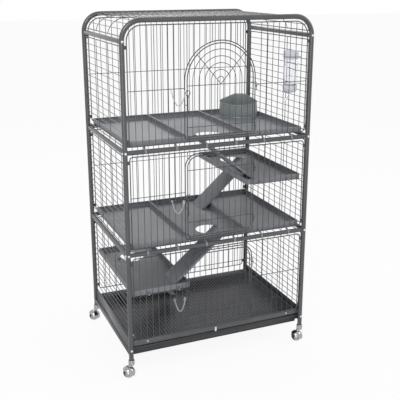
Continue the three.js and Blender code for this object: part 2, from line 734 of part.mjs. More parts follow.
// The hooks of a half shelf lie in the middle of a space between upright bars.
function halfShelf(index, tier, hole) {
  const left = thirdStart(index);
  const bottom = halfShelfHeight(tier);
  const firstBar = Math.ceil((left + hookInset + frontSpan) / barPitch);
  const lastBar = Math.floor((left + thirdWidth - hookInset + frontSpan) / barPitch);
  const places = [firstBar - 0.5, lastBar + 0.5].map((count) => count * barPitch - frontSpan);
  const rodY = halfDepth - wireSetting;
  const wallZ = bottom + smallHookRootRise;
  const strap = (x) => hook(x, rodY, midWireHeight(tier), wireRadius, wallZ);
  const straps = places.map((x) => strap(x));
  const mirrored = places.map((x) => strap(-x).rotateZ(Math.PI));
  return sheetPan(left, bottom, [hole], [...straps, ...mirrored]);
}

// A sheet pan with four walls and its hooks, with or without a round hole.
function sheetPan(left, bottom, holes, straps) {
  const right = left + thirdWidth;
  const outer = block(point(left, panFront, bottom), point(right, panRear, bottom + shelfWall));
  const inner = block(point(left + sheet, panFront + sheet, bottom + sheet),
    point(right - sheet, panRear - sheet, bottom + 2 * shelfWall));
  const drills = holes.map(([x, y]) => bar(point(x, y, bottom - sheet), point(x, y, bottom + 3 * sheet),
    point(1, 0, 0), holeRadius, 24));
  return unite([cut(outer, [inner, ...drills]), ...straps]);
}

function addShelves() {
  for (const [level, name] of [[1, 'lower'], [2, 'upper']]) {
    addMesh(`shelf_pan_${name}_left`, railPan(0, level, []), 'sheet');
    addMesh(`shelf_pan_${name}_middle`, railPan(1, level, [[middleHoleX, frontHoleY]]), 'sheet');
    addMesh(`shelf_pan_${name}_right`, railPan(2, level, []), 'sheet');
  }
  addMesh('half_shelf_right', halfShelf(2, 1, [rightHoleX, rearHoleY]), 'sheet');
  addMesh('half_shelf_left', halfShelf(0, 0, [leftHoleX, rearHoleY]), 'sheet');
}

// ---- Ramps ----
const rimSag = holeRadius - Math.sqrt(holeRadius ** 2 - (rampTongueWidth / 2) ** 2);
const tongueX = rimSag + seatGap;
const plateDrop = sheet + 0.6;

// The slope at which the plate's lower corner just stands on the surface below.
function rampSlope(run, drop) {
  let slope = Math.atan2(drop, run);
  for (let i = 0; i < 8; i += 1) {
    slope = Math.atan2(drop - plateDrop - seatGap - sheet * Math.cos(slope), run - tongueX);
  }
  return slope;
}

// A ramp that comes down towards +X. Its own origin is on the rim of the hole, on the upper face.
function ramp(run, drop) {
  const slope = rampSlope(run, drop);
  const length = (run - tongueX) / Math.cos(slope);
  const plate = block(point(0, -rampWidth / 2, -sheet), point(length, rampWidth / 2, 0));
  const footCut = rampFlange / Math.tan(slope) + rampFootCut[1];
  const side = new THREE.Shape();
  side.moveTo(rampHeadCut[0], -sheet / 2);
  side.lineTo(rampHeadCut[1], -rampFlange);
  side.lineTo(length - footCut, -rampFlange);
  side.lineTo(length - rampFootCut[0], -sheet / 2);
  const flanges = [-rampWidth / 2, rampWidth / 2 - sheet].map((y) => (
    slab(side, -y - sheet, -y).rotateX(Math.PI / 2)));
  const sloped = [plate, ...flanges].map((piece) => piece.rotateY(slope).translate(tongueX, 0, -plateDrop));
  const lean = Math.tan(rampTongueTilt);
  const tipX = tongueX - rampTongueLength * Math.cos(rampTongueTilt);
  const underside = (x) => seatGap + (rimSag - x) * lean;
  const tongue = new THREE.Shape();
  tongue.moveTo(tongueX, -plateDrop - sheet / 2);
  tongue.lineTo(tongueX + 2 * sheet, -plateDrop - 2 * sheet);
  tongue.lineTo(tongueX + sheet, underside(tongueX) + sheet);
  tongue.lineTo(tipX + sheet * Math.sin(rampTongueTilt), underside(tipX) + sheet);
  tongue.lineTo(tipX, underside(tipX));
  tongue.lineTo(tongueX, underside(tongueX));
  const strip = slab(tongue, -rampTongueWidth / 2, rampTongueWidth / 2).rotateX(Math.PI / 2);
  return unite([...sloped, strip]);
}

// heading 1 comes down towards +X, -1 towards -X.
function addRamp(name, holeX, holeY, heading, run, upperTop, lowerTop) {
  const mesh = addMesh(name, ramp(run, upperTop - lowerTop), 'sheet');
  mesh.rotation.z = heading > 0 ? 0 : Math.PI;
  mesh.position.set(holeX - heading * holeRadius, holeY, upperTop);
}

function addRamps() {
  const upperShelf = railTop(2) + sheet;
  const lowerShelf = railTop(1) + sheet;
  const rightHalf = halfShelfHeight(1) + sheet;
  const leftHalf = halfShelfHeight(0) + sheet;
  const grateTop = railHeights[0] + grateRise + wireSetting + wireRadius / 2;
  addRamp('ramp_upper', middleHoleX, frontHoleY, 1, upperRampRun, upperShelf, rightHalf);
  addRamp('ramp_middle', rightHoleX, rearHoleY, -1, middleRampRun, rightHalf, lowerShelf);
  addRamp('ramp_lower', middleHoleX, frontHoleY, -1, lowerRampRun, lowerShelf, leftHalf);
  addRamp('ramp_floor', leftHoleX, rearHoleY, 1, floorRampRun, leftHalf, grateTop);
}

// ---- Litter pan ----
// A quarter disc with its corner at the origin, its straight sides along -X and -Y, and the corner cut off.
function litterOutline(inset) {
  const radius = litterRadius - inset;
  const corner = litterCornerCut + inset * (Math.SQRT2 - 1);
  const shape = new THREE.Shape();
  const start = THREE.MathUtils.degToRad(194);
  const end = THREE.MathUtils.degToRad(256);
  shape.moveTo(-corner, -inset);
  shape.lineTo(-radius + litterEndRound, -inset);
  shape.quadraticCurveTo(-radius, -inset, radius * Math.cos(start), radius * Math.sin(start));
  shape.absarc(0, 0, radius, start, end);
  shape.quadraticCurveTo(-inset, -radius, -inset, -radius + litterEndRound);
  shape.lineTo(-inset, -corner);
  return shape;
}

// The walls lean in towards the rim, about the middle of the plan.
function leanIn(geometry) {
  const middle = -0.35 * litterRadius;
  const place = geometry.attributes.position;
  for (let i = 0; i < place.count; i++) {
    const share = 1 + (litterTopShare - 1) * place.getZ(i) / litterBackHeight;
    place.setXY(i, middle + (place.getX(i) - middle) * share, middle + (place.getY(i) - middle) * share);
  }
  return geometry;
}

function addLitterPan() {
  const body = leanIn(slab(litterOutline(0), litterFoot, 2 * litterBackHeight, 4));
  const foot = slab(litterOutline(litterFootInset), 0, litterFoot + 1, 4);
  const hollow = leanIn(slab(litterOutline(litterWall), litterFoot + litterWall, 3 * litterBackHeight, 4));
  const cornerDepth = litterCornerCut / Math.SQRT2;
  const fall = Math.atan2(litterBackHeight - litterFrontHeight, litterRadius - cornerDepth);
  const above = block(point(-2 * litterRadius, -2 * litterRadius, 0),
    point(2 * litterRadius, 2 * litterRadius, 4 * litterBackHeight));
  above.applyMatrix4(new THREE.Matrix4().makeRotationAxis(point(1, -1, 0).normalize(), fall));
  above.translate(0, 0, litterBackHeight + cornerDepth * Math.tan(fall));
  const pan = cut(unite([body, foot]), [hollow, above]);
  pan.rotateZ(THREE.MathUtils.degToRad(litterTurn));
  const mesh = addMesh('litter_pan', pan, 'litter');
  mesh.position.set(halfWidth - litterSideInset, halfDepth - litterRearInset, railTop(2) + sheet + seatGap);
}

// ---- Water bottle ----
function addBottle() {
  const capFloor = bottleHeight - capHeight;
  const profile = [
    [0, 0], [bottleRadius - bottleRound, 0], [bottleRadius, bottleRound],
    [bottleRadius, capFloor - bottleShoulder], [bottleRadius - bottleTaper, capFloor],
    [capRadius - capChamfer * 2, capFloor], [capRadius, capFloor + capChamfer],
    [capRadius, bottleHeight], [0, bottleHeight + capCrown],
  ];
  const corners = profile.map(([radius, height]) => new THREE.Vector2(radius, height));
  const body = new THREE.LatheGeometry(corners, 16).rotateX(Math.PI / 2);
  const x = halfWidth - bottleInset;
  const y = bottleFrontInset - halfDepth;
  const z = railHeights[2] + bottleBase;
  addMesh('water_bottle', body, 'clear').position.set(x, y, z);
  const cup = bar(point(0, 0, -capHeight), point(0, 0, -seatGap), point(1, 0, 0), capRadius, 16);
  const spoutStart = point(0, 0, -capHeight / 2);
  const spoutWay = point(-Math.sin(spoutTilt), 0, -Math.cos(spoutTilt));
  const spoutEnd = spoutStart.clone().addScaledVector(spoutWay, spoutLength);
  const spout = bar(spoutStart, spoutEnd, outward, spoutRadius, 8);
  addMesh('bottle_spout', unite([cup, spout]), 'zinc').position.set(x, y, z);
}

// ---- Base: skirts, tray, grate ----
function skirt() {
  const lipTop = skirtBottom - skirtLip;
  const half = halfDepth - tubeRadius - seatGap;
  const profile = new THREE.Shape();
  profile.moveTo(-sheet / 2, skirtTop);
  profile.lineTo(-sheet / 2, -skirtBottom);
  profile.lineTo(sheet / 2, -skirtBottom);
  profile.absarc(sheet / 2, -skirtBottom + skirtLip / 2, skirtLip / 2 - 0.5, -Math.PI / 2, Math.PI / 2);
  profile.lineTo(sheet / 2, -lipTop + 1);
  profile.lineTo(sheet / 2, skirtTop);
  const stand = new THREE.Matrix4().makeBasis(outward, point(0, 1, 0), point(-1, 0, 0));
  const panel = slab(profile, -half, half, 3).applyMatrix4(stand);
  const ledges = [trayLedge, grateLedge].map((height) => (
    block(point(-half, height - sheet, -ledgeWidth - sheet), point(half, height, 0))));
  return unite([panel, ...ledges]).translate(0, railHeights[0], 0);
}

const flangeEdge = halfWidth - tubeRadius - 2 * seatGap;
const sideClear = halfWidth - trayInset;
const frontFold = trayInset - halfDepth;
const drawerRear = halfDepth - trayRearInset;

function tray() {
  const top = railHeights[0] + trayLedge + seatGap + sheet;
  const floor = top - trayDepth;
  const outer = block(point(-sideClear, frontFold, floor), point(sideClear, drawerRear, top));
  const inner = block(point(-sideClear + sheet, frontFold + sheet, floor + sheet),
    point(sideClear - sheet, drawerRear - sheet, top + sheet));
  const lip = block(point(-flangeEdge, -halfDepth - sheet / 2, top - trayLipHeight),
    point(flangeEdge, -halfDepth + sheet / 2, top));
  const fold = block(point(-sideClear, -halfDepth, top - sheet), point(sideClear, frontFold + sheet / 2, top));
  const flanges = [-1, 1].map((side) => {
    const ends = [side * flangeEdge, side * (sideClear - sheet / 2)].sort((a, b) => a - b);
    return block(point(ends[0], frontFold, top - sheet), point(ends[1], drawerRear, top));
  });
  return unite([cut(outer, [inner]), lip, fold, ...flanges]);
}

function grate() {
  const middle = railHeights[0] + grateRise;
  const side = halfWidth - tubeRadius - 2 * seatGap - halfEdge;
  const outline = (grow) => {
    const radius = grateCornerRadius + grow;
    return boxOutline(-side - grow, side + grow, frontFold - grow, drawerRear + grow, radius, radius);
  };
  const pieces = [edgeRing(outline, middle)];
  const up = point(0, 0, 1);
  const down = point(0, 0, -1);
  for (let i = 1; i < grateWires; i += 1) {
    const x = -side + (2 * side * i) / grateWires;
    const height = middle + wireSetting;
    pieces.push(bar(point(x, frontFold, height), point(x, drawerRear, height), down));
  }
  for (const share of [1 / 3, 2 / 3]) {
    const y = frontFold + (drawerRear - frontFold) * share;
    pieces.push(bar(point(-side, y, middle - wireSetting), point(side, y, middle - wireSetting), up));
  }
  const stripBottom = railHeights[0] + grateLedge - grateStripDrop;
  pieces.push(block(point(-flangeEdge, -halfDepth - sheet / 2, stripBottom),
    point(flangeEdge, -halfDepth + sheet / 2, stripBottom + grateStripHeight)));
  pieces.push(block(point(-side, -halfDepth, middle - sheet / 2), point(side, frontFold, middle + sheet / 2)));
  const pivot = tabPivot();
  const pinEnd = point(pivot.x, pivot.y - tabThickness - 2 * seatGap - 1, pivot.z);
  pieces.push(bar(point(pivot.x, -halfDepth, pivot.z), pinEnd, up, tabPinRadius, 10));
  return unite(pieces);
}

const tabPivot = () => point(tabX, -halfDepth - sheet / 2, railHeights[0] + grateLedge + tabLength / 2);

function turnTab() {
  const outline = boxOutline(-tabWidth / 2, tabWidth / 2, -tabLength + tabWidth / 2, tabWidth / 2, 3, 3);
  outline.holes.push(new THREE.Path().absarc(0, 0, tabBoreRadius, 0, 2 * Math.PI, true));
  return slab(outline, seatGap, seatGap + tabThickness, 3);
}

function addBase() {
  place(addMesh('base_skirt_left', skirt(), 'sheet'), leftWall);
  place(addMesh('base_skirt_right', skirt(), 'sheet'), rightWall);
  addMesh('base_tray', tray(), 'sheet');
  addMesh('floor_grate', grate(), 'wire');
  const pivot = tabPivot();
  const tab = standUp(addMesh('turn_tab', turnTab(), 'zinc'), 0, pivot.x, pivot.y);
  tab.position.z = pivot.z;
}

// ---- Casters ----
const bandAngle = (Math.PI - 2 * poleAngle) / ballBands;
const ballCorner = ballRadius / (Math.cos(Math.PI / ballSides) * Math.cos(bandAngle / 2));
const poleY = ballCorner * Math.cos(poleAngle);

// The ball turns about the world's Y axis. Its flats touch the round ball, one of them below.
function casterBall() {
  const profile = [new THREE.Vector2(0, -poleY)];
  for (let i = ballBands; i >= 0; i -= 1) {
    const angle = poleAngle + i * bandAngle;
    profile.push(new THREE.Vector2(ballCorner * Math.sin(angle), ballCorner * Math.cos(angle)));
  }
  profile.push(new THREE.Vector2(0, poleY));
  return new THREE.LatheGeometry(profile, ballSides, Math.PI / ballSides);
}

// A hood over the upper part of the ball, a neck and the collar on the swivel axis.
function casterHorn() {
  const ballMiddle = point(-casterTrail, 0, ballRadius);
  const hoodInner = ballCorner + hoodGap;
  const shell = (radius) => new THREE.SphereGeometry(radius, 8, 6).translate(...ballMiddle.toArray());
  const keep = block(point(-60, -60, -3), point(60, 60, 90));
  keep.rotateY(hoodTilt).translate(...ballMiddle.toArray());
  const hood = keepInside(shell(hoodInner + hoodWall), keep);
  const collarTop = legEnd - seatGap;
  const collar = bar(point(0, 0, collarTop - collarHeight), point(0, 0, collarTop), point(1, 0, 0), collarRadius, 12);
  const neck = bar(ballMiddle, point(0, 0, collarTop - collarHeight / 2), point(1, 0, 0), neckRadius, 8);
  const solid = cut(unite([hood, neck, collar]), [shell(hoodInner)]);
  const bosses = [-1, 1].map((side) => bar(
    ballMiddle.clone().add(point(0, side * (poleY + seatGap), 0)),
    ballMiddle.clone().add(point(0, side * (hoodInner + hoodWall), 0)), point(0, 0, 1), bossRadius, 8));
  return unite([solid, ...bosses]);
}

function addCasters() {
  const corners = { front_left: [-1, -1], front_right: [1, -1], rear_left: [-1, 1], rear_right: [1, 1] };
  for (const [name, [sideX, sideY]] of Object.entries(corners)) {
    const caster = new THREE.Group();
    caster.position.set(sideX * halfWidth, sideY * halfDepth, 0);
    addMesh(`caster_horn_${name}`, casterHorn(), 'chrome', caster);
    addMesh(`caster_ball_${name}`, casterBall(), 'chrome', caster).position.set(-casterTrail, 0, ballRadius);
    cage.add(caster);
  }
}

addFrame();
addPanels();
addShelves();
addRamps();
addLitterPan();
addBottle();
addBase();
addCasters();

// The origin is the middle of the box around the whole cage, on the floor.
cage.updateMatrixWorld(true);
const bounds = new THREE.Box3().setFromObject(cage, true);
cage.position.x = -(bounds.min.x + bounds.max.x) / 2;
cage.position.y = -(bounds.min.y + bounds.max.y) / 2;
cage.updateMatrixWorld(true);

export default cage;
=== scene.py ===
import math

import bmesh
import bpy
from mathutils import Matrix, Vector


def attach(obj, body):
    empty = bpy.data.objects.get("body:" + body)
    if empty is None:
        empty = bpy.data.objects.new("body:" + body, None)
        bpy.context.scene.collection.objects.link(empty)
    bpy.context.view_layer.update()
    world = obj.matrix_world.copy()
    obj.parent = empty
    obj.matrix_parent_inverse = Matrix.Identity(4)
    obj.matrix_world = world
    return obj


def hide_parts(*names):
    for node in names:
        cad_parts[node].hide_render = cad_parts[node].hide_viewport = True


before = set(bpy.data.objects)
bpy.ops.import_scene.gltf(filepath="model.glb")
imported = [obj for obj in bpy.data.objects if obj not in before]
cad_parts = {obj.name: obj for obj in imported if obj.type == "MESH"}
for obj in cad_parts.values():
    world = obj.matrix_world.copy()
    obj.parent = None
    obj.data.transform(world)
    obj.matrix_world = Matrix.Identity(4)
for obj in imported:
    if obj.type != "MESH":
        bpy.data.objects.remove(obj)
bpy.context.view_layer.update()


# ---- Camera ----
# It stands in front of the cage, to its left and a little above it, and looks slightly down.
picture_side = 400
camera_data = bpy.data.cameras.new("camera")
camera_data.sensor_width = 36
camera_data.lens = camera_data.sensor_width * (702.95 / picture_side)
camera_data.shift_x = -2.74 / picture_side
camera_data.shift_y = -15 / picture_side
camera = bpy.data.objects.new("camera", camera_data)
camera.location = (-1.2621, -3.1093, 1.7752)
camera_heading = math.radians(23.003)
camera_dip = math.radians(16.29)
camera.rotation_euler = (math.pi / 2 - camera_dip, 0, -camera_heading)
bpy.context.scene.collection.objects.link(camera)
bpy.context.scene.camera = camera
bpy.context.scene.view_settings.view_transform = "Standard"


# ---- Studio ----
# A plain pale floor in a white room, with a large soft lamp in front and weaker ones on the right,
# behind and low in front.
def set_sockets(tree, node, sockets):
    """Gives a node's sockets their numbers and colours, or links them to other nodes."""
    for socket, value in sockets.items():
        if isinstance(value, bpy.types.NodeSocket):
            tree.links.new(value, node.inputs[socket])
        else:
            node.inputs[socket].default_value = value


def add_node(tree, kind, sockets=None, **settings):
    node = tree.nodes.new(kind)
    for key, value in settings.items():
        setattr(node, key, value)
    set_sockets(tree, node, sockets or {})
    return node


def seen_rays(tree):
    """One where the camera looks straight, in a mirror or through clear plastic, and zero elsewhere."""
    rays = add_node(tree, "ShaderNodeLightPath").outputs
    either = add_node(tree, "ShaderNodeMath", {0: rays["Is Camera Ray"], 1: rays["Is Glossy Ray"]},
                      operation="ADD", use_clamp=True)
    return add_node(tree, "ShaderNodeMath", {0: either.outputs[0], 1: rays["Is Transmission Ray"]},
                    operation="ADD", use_clamp=True).outputs[0]


def white_room():
    world = bpy.data.worlds.new("white room")
    bpy.context.scene.world = world
    world.use_nodes = True
    tree = world.node_tree
    tree.nodes.clear()
    soft = add_node(tree, "ShaderNodeBackground", {"Color": (0.97, 0.98, 1.0, 1), "Strength": 0.62})
    plain = add_node(tree, "ShaderNodeBackground", {"Color": (1, 1, 1, 1), "Strength": 1.0})
    mix = add_node(tree, "ShaderNodeMixShader", {0: seen_rays(tree), 1: soft.outputs[0], 2: plain.outputs[0]})
    add_node(tree, "ShaderNodeOutputWorld", {0: mix.outputs[0]})


def add_lamp(name, place, aim, size, power):
    lamp_data = bpy.data.lights.new(name, "AREA")
    lamp_data.shape = "DISK"
    lamp_data.size = size
    lamp_data.energy = power
    lamp = bpy.data.objects.new(name, lamp_data)
    lamp.location = place
    lamp.rotation_euler = (Vector(aim) - Vector(place)).to_track_quat("-Z", "Y").to_euler()
    bpy.context.scene.collection.objects.link(lamp)


white_room()
add_lamp("front lamp", (-2.6, -3.4, 4.2), (0, 0, 0.8), 2.2, 95)
add_lamp("right lamp", (3.4, -1.2, 2.6), (0, 0, 0.8), 1.8, 24)
add_lamp("rear lamp", (0.6, 3.6, 3.6), (0, 0, 0.9), 2.0, 30)
add_lamp("low lamp", (-2.0, -3.8, 0.8), (0, 0, 0.5), 1.6, 22)


def new_surface(name):
    """A new material, its nodes and its main shader."""
    material = bpy.data.materials.new(name)
    material.use_nodes = True
    return material, material.node_tree, material.node_tree.nodes["Principled BSDF"]


def floor_material():
    """White to the camera and in reflections, yet it keeps a faint shadow of the cage."""
    material, tree, matte = new_surface("pale floor")
    set_sockets(tree, matte,
                {"Base Color": (0.9, 0.9, 0.905, 1), "Roughness": 0.9, "Specular IOR Level": 0.1})
    glow = add_node(tree, "ShaderNodeEmission", {"Strength": 1.0})
    glow_share = add_node(tree, "ShaderNodeMath", {0: seen_rays(tree), 1: 0.92}, operation="MULTIPLY")
    mix = add_node(tree, "ShaderNodeMixShader",
                   {0: glow_share.outputs[0], 1: matte.outputs[0], 2: glow.outputs[0]})
    tree.links.new(mix.outputs[0], tree.nodes["Material Output"].inputs["Surface"])
    return material


floor_work = bmesh.new()
bmesh.ops.create_grid(floor_work, x_segments=1, y_segments=1, size=30)
floor_mesh = bpy.data.meshes.new("floor")
floor_work.to_mesh(floor_mesh)
floor_work.free()
floor_mesh.materials.append(floor_material())
floor = bpy.data.objects.new("floor", floor_mesh)
bpy.context.scene.collection.objects.link(floor)


# ---- Tube frame ----
# Two steel tubes are bent to an arch each, front and rear, and straight tubes with flattened
# ends are bolted between them. All of it has a dark grey powder coat with a faint orange peel.
millimetre = 0.001
half_width = 447.0
half_depth = 314.5
frame_middle = 0.013164154052734375
rail_heights = [135.0, 601.0, 1067.0, 1533.0]
tube_radius = 11.0
arch_radius = 85.0
arch_top = rail_heights[3] + arch_radius
leg_end = 86.0


def effect_group(name, inputs, outputs):
    """A new shader node group with plain number or colour sockets."""
    group = bpy.data.node_groups.new(name, "ShaderNodeTree")
    for title, kind, value in inputs:
        socket = group.interface.new_socket(title, in_out="INPUT", socket_type=kind)
        socket.default_value = value
    for title, kind in outputs:
        group.interface.new_socket(title, in_out="OUTPUT", socket_type=kind)
    return group, group.nodes.new("NodeGroupInput").outputs, group.nodes.new("NodeGroupOutput")


def make_coat_group():
    """The orange peel, the cloudy shade and the fine flake of a powder coat."""
    group, source, result = effect_group(
        "powder coat",
        [("Peel Scale", "NodeSocketFloat", 900.0), ("Flake Scale", "NodeSocketFloat", 2600.0),
         ("Light", "NodeSocketColor", (0.2, 0.2, 0.2, 1)), ("Dark", "NodeSocketColor", (0.1, 0.1, 0.1, 1)),
         ("Roughness", "NodeSocketFloat", 0.4)],
        [("Color", "NodeSocketColor"), ("Roughness", "NodeSocketFloat"), ("Height", "NodeSocketFloat")])
    place = add_node(group, "ShaderNodeTexCoord").outputs["Object"]
    peel = add_node(group, "ShaderNodeTexNoise",
                    {"Vector": place, "Scale": source["Peel Scale"], "Detail": 2})
    cloud = add_node(group, "ShaderNodeTexNoise", {"Vector": place, "Scale": 14, "Detail": 4}).outputs["Fac"]
    flake = add_node(group, "ShaderNodeTexVoronoi", {"Vector": place, "Scale": source["Flake Scale"]})
    grain = add_node(group, "ShaderNodeMapRange",
                     {"Value": flake.outputs["Distance"], "From Min": 0.15, "From Max": 0.75})
    fine = add_node(group, "ShaderNodeMath", {0: grain.outputs["Result"], 1: 0.4}, operation="MULTIPLY")
    shade = add_node(group, "ShaderNodeMath", {0: cloud, 1: 0.55, 2: fine.outputs[0]},
                     operation="MULTIPLY_ADD")
    mix = add_node(group, "ShaderNodeMix",
                   {"Factor": shade.outputs[0], "A": source["Dark"], "B": source["Light"]},
                   data_type="RGBA")
    rough = add_node(group, "ShaderNodeMath", {0: cloud, 1: 0.16, 2: source["Roughness"]},
                     operation="MULTIPLY_ADD")
    set_sockets(group, result, {"Color": mix.outputs["Result"], "Roughness": rough.outputs[0],
                                "Height": peel.outputs["Fac"]})
    return group


coat_group = make_coat_group()


def coat_material(name, dark, light, roughness, peel_scale, flake_scale, bump, metallic=0.0, gloss=0.0):
    """A powder coat with its own colours and grain."""
    material, tree, surface = new_surface(name)
    coat = add_node(tree, "ShaderNodeGroup",
                    {"Peel Scale": peel_scale, "Flake Scale": flake_scale, "Dark": (*dark, 1),
                     "Light": (*light, 1), "Roughness": roughness}, node_tree=coat_group).outputs
    relief = add_node(tree, "ShaderNodeBump",
                      {"Strength": bump, "Distance": 0.0004, "Height": coat["Height"]})
    set_sockets(tree, surface, {"Base Color": coat["Color"], "Roughness": coat["Roughness"],
                                "Normal": relief.outputs["Normal"], "Metallic": metallic,
                                "Coat Weight": gloss, "Coat Roughness": 0.12})
    return material


tube_paint = coat_material("tube paint", (0.042, 0.043, 0.047), (0.115, 0.118, 0.126), 0.28, 700, 2200,
                           0.25, 0.35, 0.3)


def finish_piece(work, name, body, material, replaced=(), sharp=35):
    """Makes a piece of a shape drawn in millimetres about the middle of the frame."""
    work.transform(Matrix.Translation((frame_middle, 0, 0)) @ Matrix.Scale(millimetre, 4))
    mesh = bpy.data.meshes.new(name)
    work.to_mesh(mesh)
    work.free()
    mesh.materials.append(material)
    mesh.shade_smooth()
    mesh.set_sharp_from_angle(angle=math.radians(sharp))
    piece = bpy.data.objects.new(name, mesh)
    bpy.context.scene.collection.objects.link(piece)
    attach(piece, body)
    if replaced:
        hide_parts(*replaced)
    return piece


def straight_rod(work, start, end, radius, sides=8, end_radius=None):
    """A straight round wire or tube with flat ends."""
    start, end = Vector(start), Vector(end)
    along = end - start
    place = Matrix.Translation((start + end) / 2) @ along.to_track_quat("Z", "Y").to_matrix().to_4x4()
    tip = radius if end_radius is None else end_radius
    made = bmesh.ops.create_cone(work, cap_ends=True, segments=sides, radius1=radius, radius2=tip,
                                 depth=along.length, matrix=place)
    return made["verts"]


def edges_of(items):
    return [item for item in items if isinstance(item, bmesh.types.BMEdge)]


def verts_of(items):
    return [item for item in items if isinstance(item, bmesh.types.BMVert)]


def edges_at(verts):
    return list({edge for vert in verts for edge in vert.link_edges})


def heading_at(stops, i, closed):
    before = stops[i] - stops[i - 1] if i > 0 or closed else stops[1] - stops[0]
    after = stops[(i + 1) % len(stops)] - stops[i] if i + 1 < len(stops) or closed else before
    return (before.normalized() + after.normalized()).normalized()


def bent_rod(work, stops, radius, sides=8, closed=False):
    """A round wire or tube along a row of stops, with flat ends or joined to itself."""
    stops = [Vector(stop) for stop in stops]
    headings = [heading_at(stops, i, closed) for i in range(len(stops))]
    turn = headings[0].to_track_quat("Z", "Y").to_matrix().to_4x4()
    ring = bmesh.ops.create_circle(work, cap_ends=False, segments=sides, radius=radius,
                                   matrix=Matrix.Translation(stops[0]) @ turn)["verts"]
    made = list(ring)
    first = edges = edges_at(ring)
    for i in range(1, len(stops)):
        step = bmesh.ops.extrude_edge_only(work, edges=edges)["geom"]
        moved, edges = verts_of(step), edges_of(step)
        swing = headings[i - 1].rotation_difference(headings[i]).to_matrix().to_4x4()
        place = Matrix.Translation(stops[i]) @ swing @ Matrix.Translation(-stops[i - 1])
        bmesh.ops.transform(work, matrix=place, verts=moved)
        made += moved
    if closed:
        bmesh.ops.bridge_loops(work, edges=first + edges)
    else:
        bmesh.ops.contextual_create(work, geom=first)
        bmesh.ops.contextual_create(work, geom=edges)
    faces = list({face for vert in made for face in vert.link_faces})
    bmesh.ops.recalc_face_normals(work, faces=faces)
    return made


def sweep(first, last, steps):
    """Angles in radians from one number of degrees to another, with both ends."""
    return [math.radians(first + (last - first) * i / steps) for i in range(steps + 1)]


def arch_stops(y):
    spread = half_width - arch_radius
    bends = [(centre + arch_radius * math.cos(a), y, rail_heights[3] + arch_radius * math.sin(a))
             for centre, first in ((-spread, 180), (spread, 90)) for a in sweep(first, first - 90, 16)]
    return [(-half_width, y, leg_end), *bends, (half_width, y, leg_end)]


for end_name, y in (("front", -half_depth), ("rear", half_depth)):
    work = bmesh.new()
    bent_rod(work, arch_stops(y), tube_radius, 24)
    finish_piece(work, f"arch_tube_{end_name}", "root", tube_paint, [f"arch_frame_{end_name}"])


def bolted_tube(start, end, flat_axis):
    """A round tube whose last stretch at each end is squeezed flat, to lie against a post."""
    flat_length, squeeze_length, round_from = 8, 20, 32
    flat_share, half_flat_share = 0.55, 0.75
    work = bmesh.new()
    start, end = Vector(start), Vector(end)
    along = (end - start).normalized()
    shares = [0, flat_length, squeeze_length, round_from]
    stops = [start + along * share for share in shares] + [end - along * share for share in reversed(shares)]
    bent_rod(work, stops, tube_radius - 0.6, 24)
    across = Vector(flat_axis)
    for vert in work.verts:
        reach = min((vert.co - start).dot(along), (end - vert.co).dot(along))
        if reach <= squeeze_length + 1:
            middle = start + along * (vert.co - start).dot(along)
            offset = vert.co - middle
            share = flat_share if reach <= flat_length + 1 else half_flat_share
            vert.co = middle + offset - across * offset.dot(across) * (1 - share)
    return work


tube_inset = 6
rail_names = ("base", "lower", "upper", "top")
for end_name, y, lowest in (("front", -half_depth, 1), ("rear", half_depth, 0)):
    for rail in range(lowest, 3):
        height, name = rail_heights[rail], rail_names[rail]
        reach = half_width - tube_inset
        work = bolted_tube((-reach, y, height), (reach, y, height), (0, 1, 0))
        finish_piece(work, f"{end_name}_tube_{name}", "root", tube_paint,
                     [f"{end_name}_rail_{name}"])
for side_name, x in (("left", -half_width), ("right", half_width)):
    for rail in range(1, 4):
        height, name = rail_heights[rail], rail_names[rail]
        reach = half_depth - tube_inset
        work = bolted_tube((x, -reach, height), (x, reach, height), (1, 0, 0))
        finish_piece(work, f"side_tube_{side_name}_{name}", "root", tube_paint,
                     [f"side_rail_{side_name}_{name}"])


# ---- Bolts ----
# Bright zinc bolts with low round heads go through the posts into the ends of the side tubes, and
# through the posts from outside into the cross tubes. Their washers lie on the round of the post.
def metal_material(name, color, roughness, scratch_scale, scratch):
    """Plated or polished metal, with fine streaks in its gloss."""
    material, tree, surface = new_surface(name)
    place = add_node(tree, "ShaderNodeTexCoord").outputs["Object"]
    streak = add_node(tree, "ShaderNodeTexNoise",
                      {"Vector": place, "Scale": scratch_scale, "Detail": 5}).outputs["Fac"]
    gloss = add_node(tree, "ShaderNodeMapRange", {"Value": streak, "To Min": max(roughness - scratch, 0.02),
                                                  "To Max": roughness + scratch})
    tint = add_node(tree, "ShaderNodeMix", {"Factor": streak, "A": (*[part * 0.82 for part in color], 1),
                                            "B": (*color, 1)}, data_type="RGBA")
    set_sockets(tree, surface, {"Metallic": 1.0, "Roughness": gloss.outputs["Result"],
                                "Base Color": tint.outputs["Result"]})
    return material


zinc = metal_material("bright zinc", (0.78, 0.79, 0.8), 0.28, 260, 0.1)
# The chrome's colour is set dark as painted shade, which stands in for the dark surroundings its reflections
# would show.
chrome = metal_material("chrome", (0.42, 0.425, 0.44), 0.07, 90, 0.04)


def round_head(work, base, direction, radius, height):
    """A low domed head that grows from base along direction."""
    turn = Vector(direction).to_track_quat("Z", "Y").to_matrix().to_4x4()
    place = Matrix.Translation(Vector(base)) @ turn @ Matrix.Diagonal((1, 1, height / radius, 1))
    bmesh.ops.create_uvsphere(work, u_segments=14, v_segments=8, radius=radius, matrix=place)


def post_bolt(work, axis, direction):
    """A washer and a round head on the outside of a post."""
    out = Vector(direction)
    face = Vector(axis) + out * (tube_radius - 0.6)
    straight_rod(work, face - out, face + out * 1.2, 5.6, 16)
    round_head(work, face + out * 1.1, out, 4.4, 2.6)


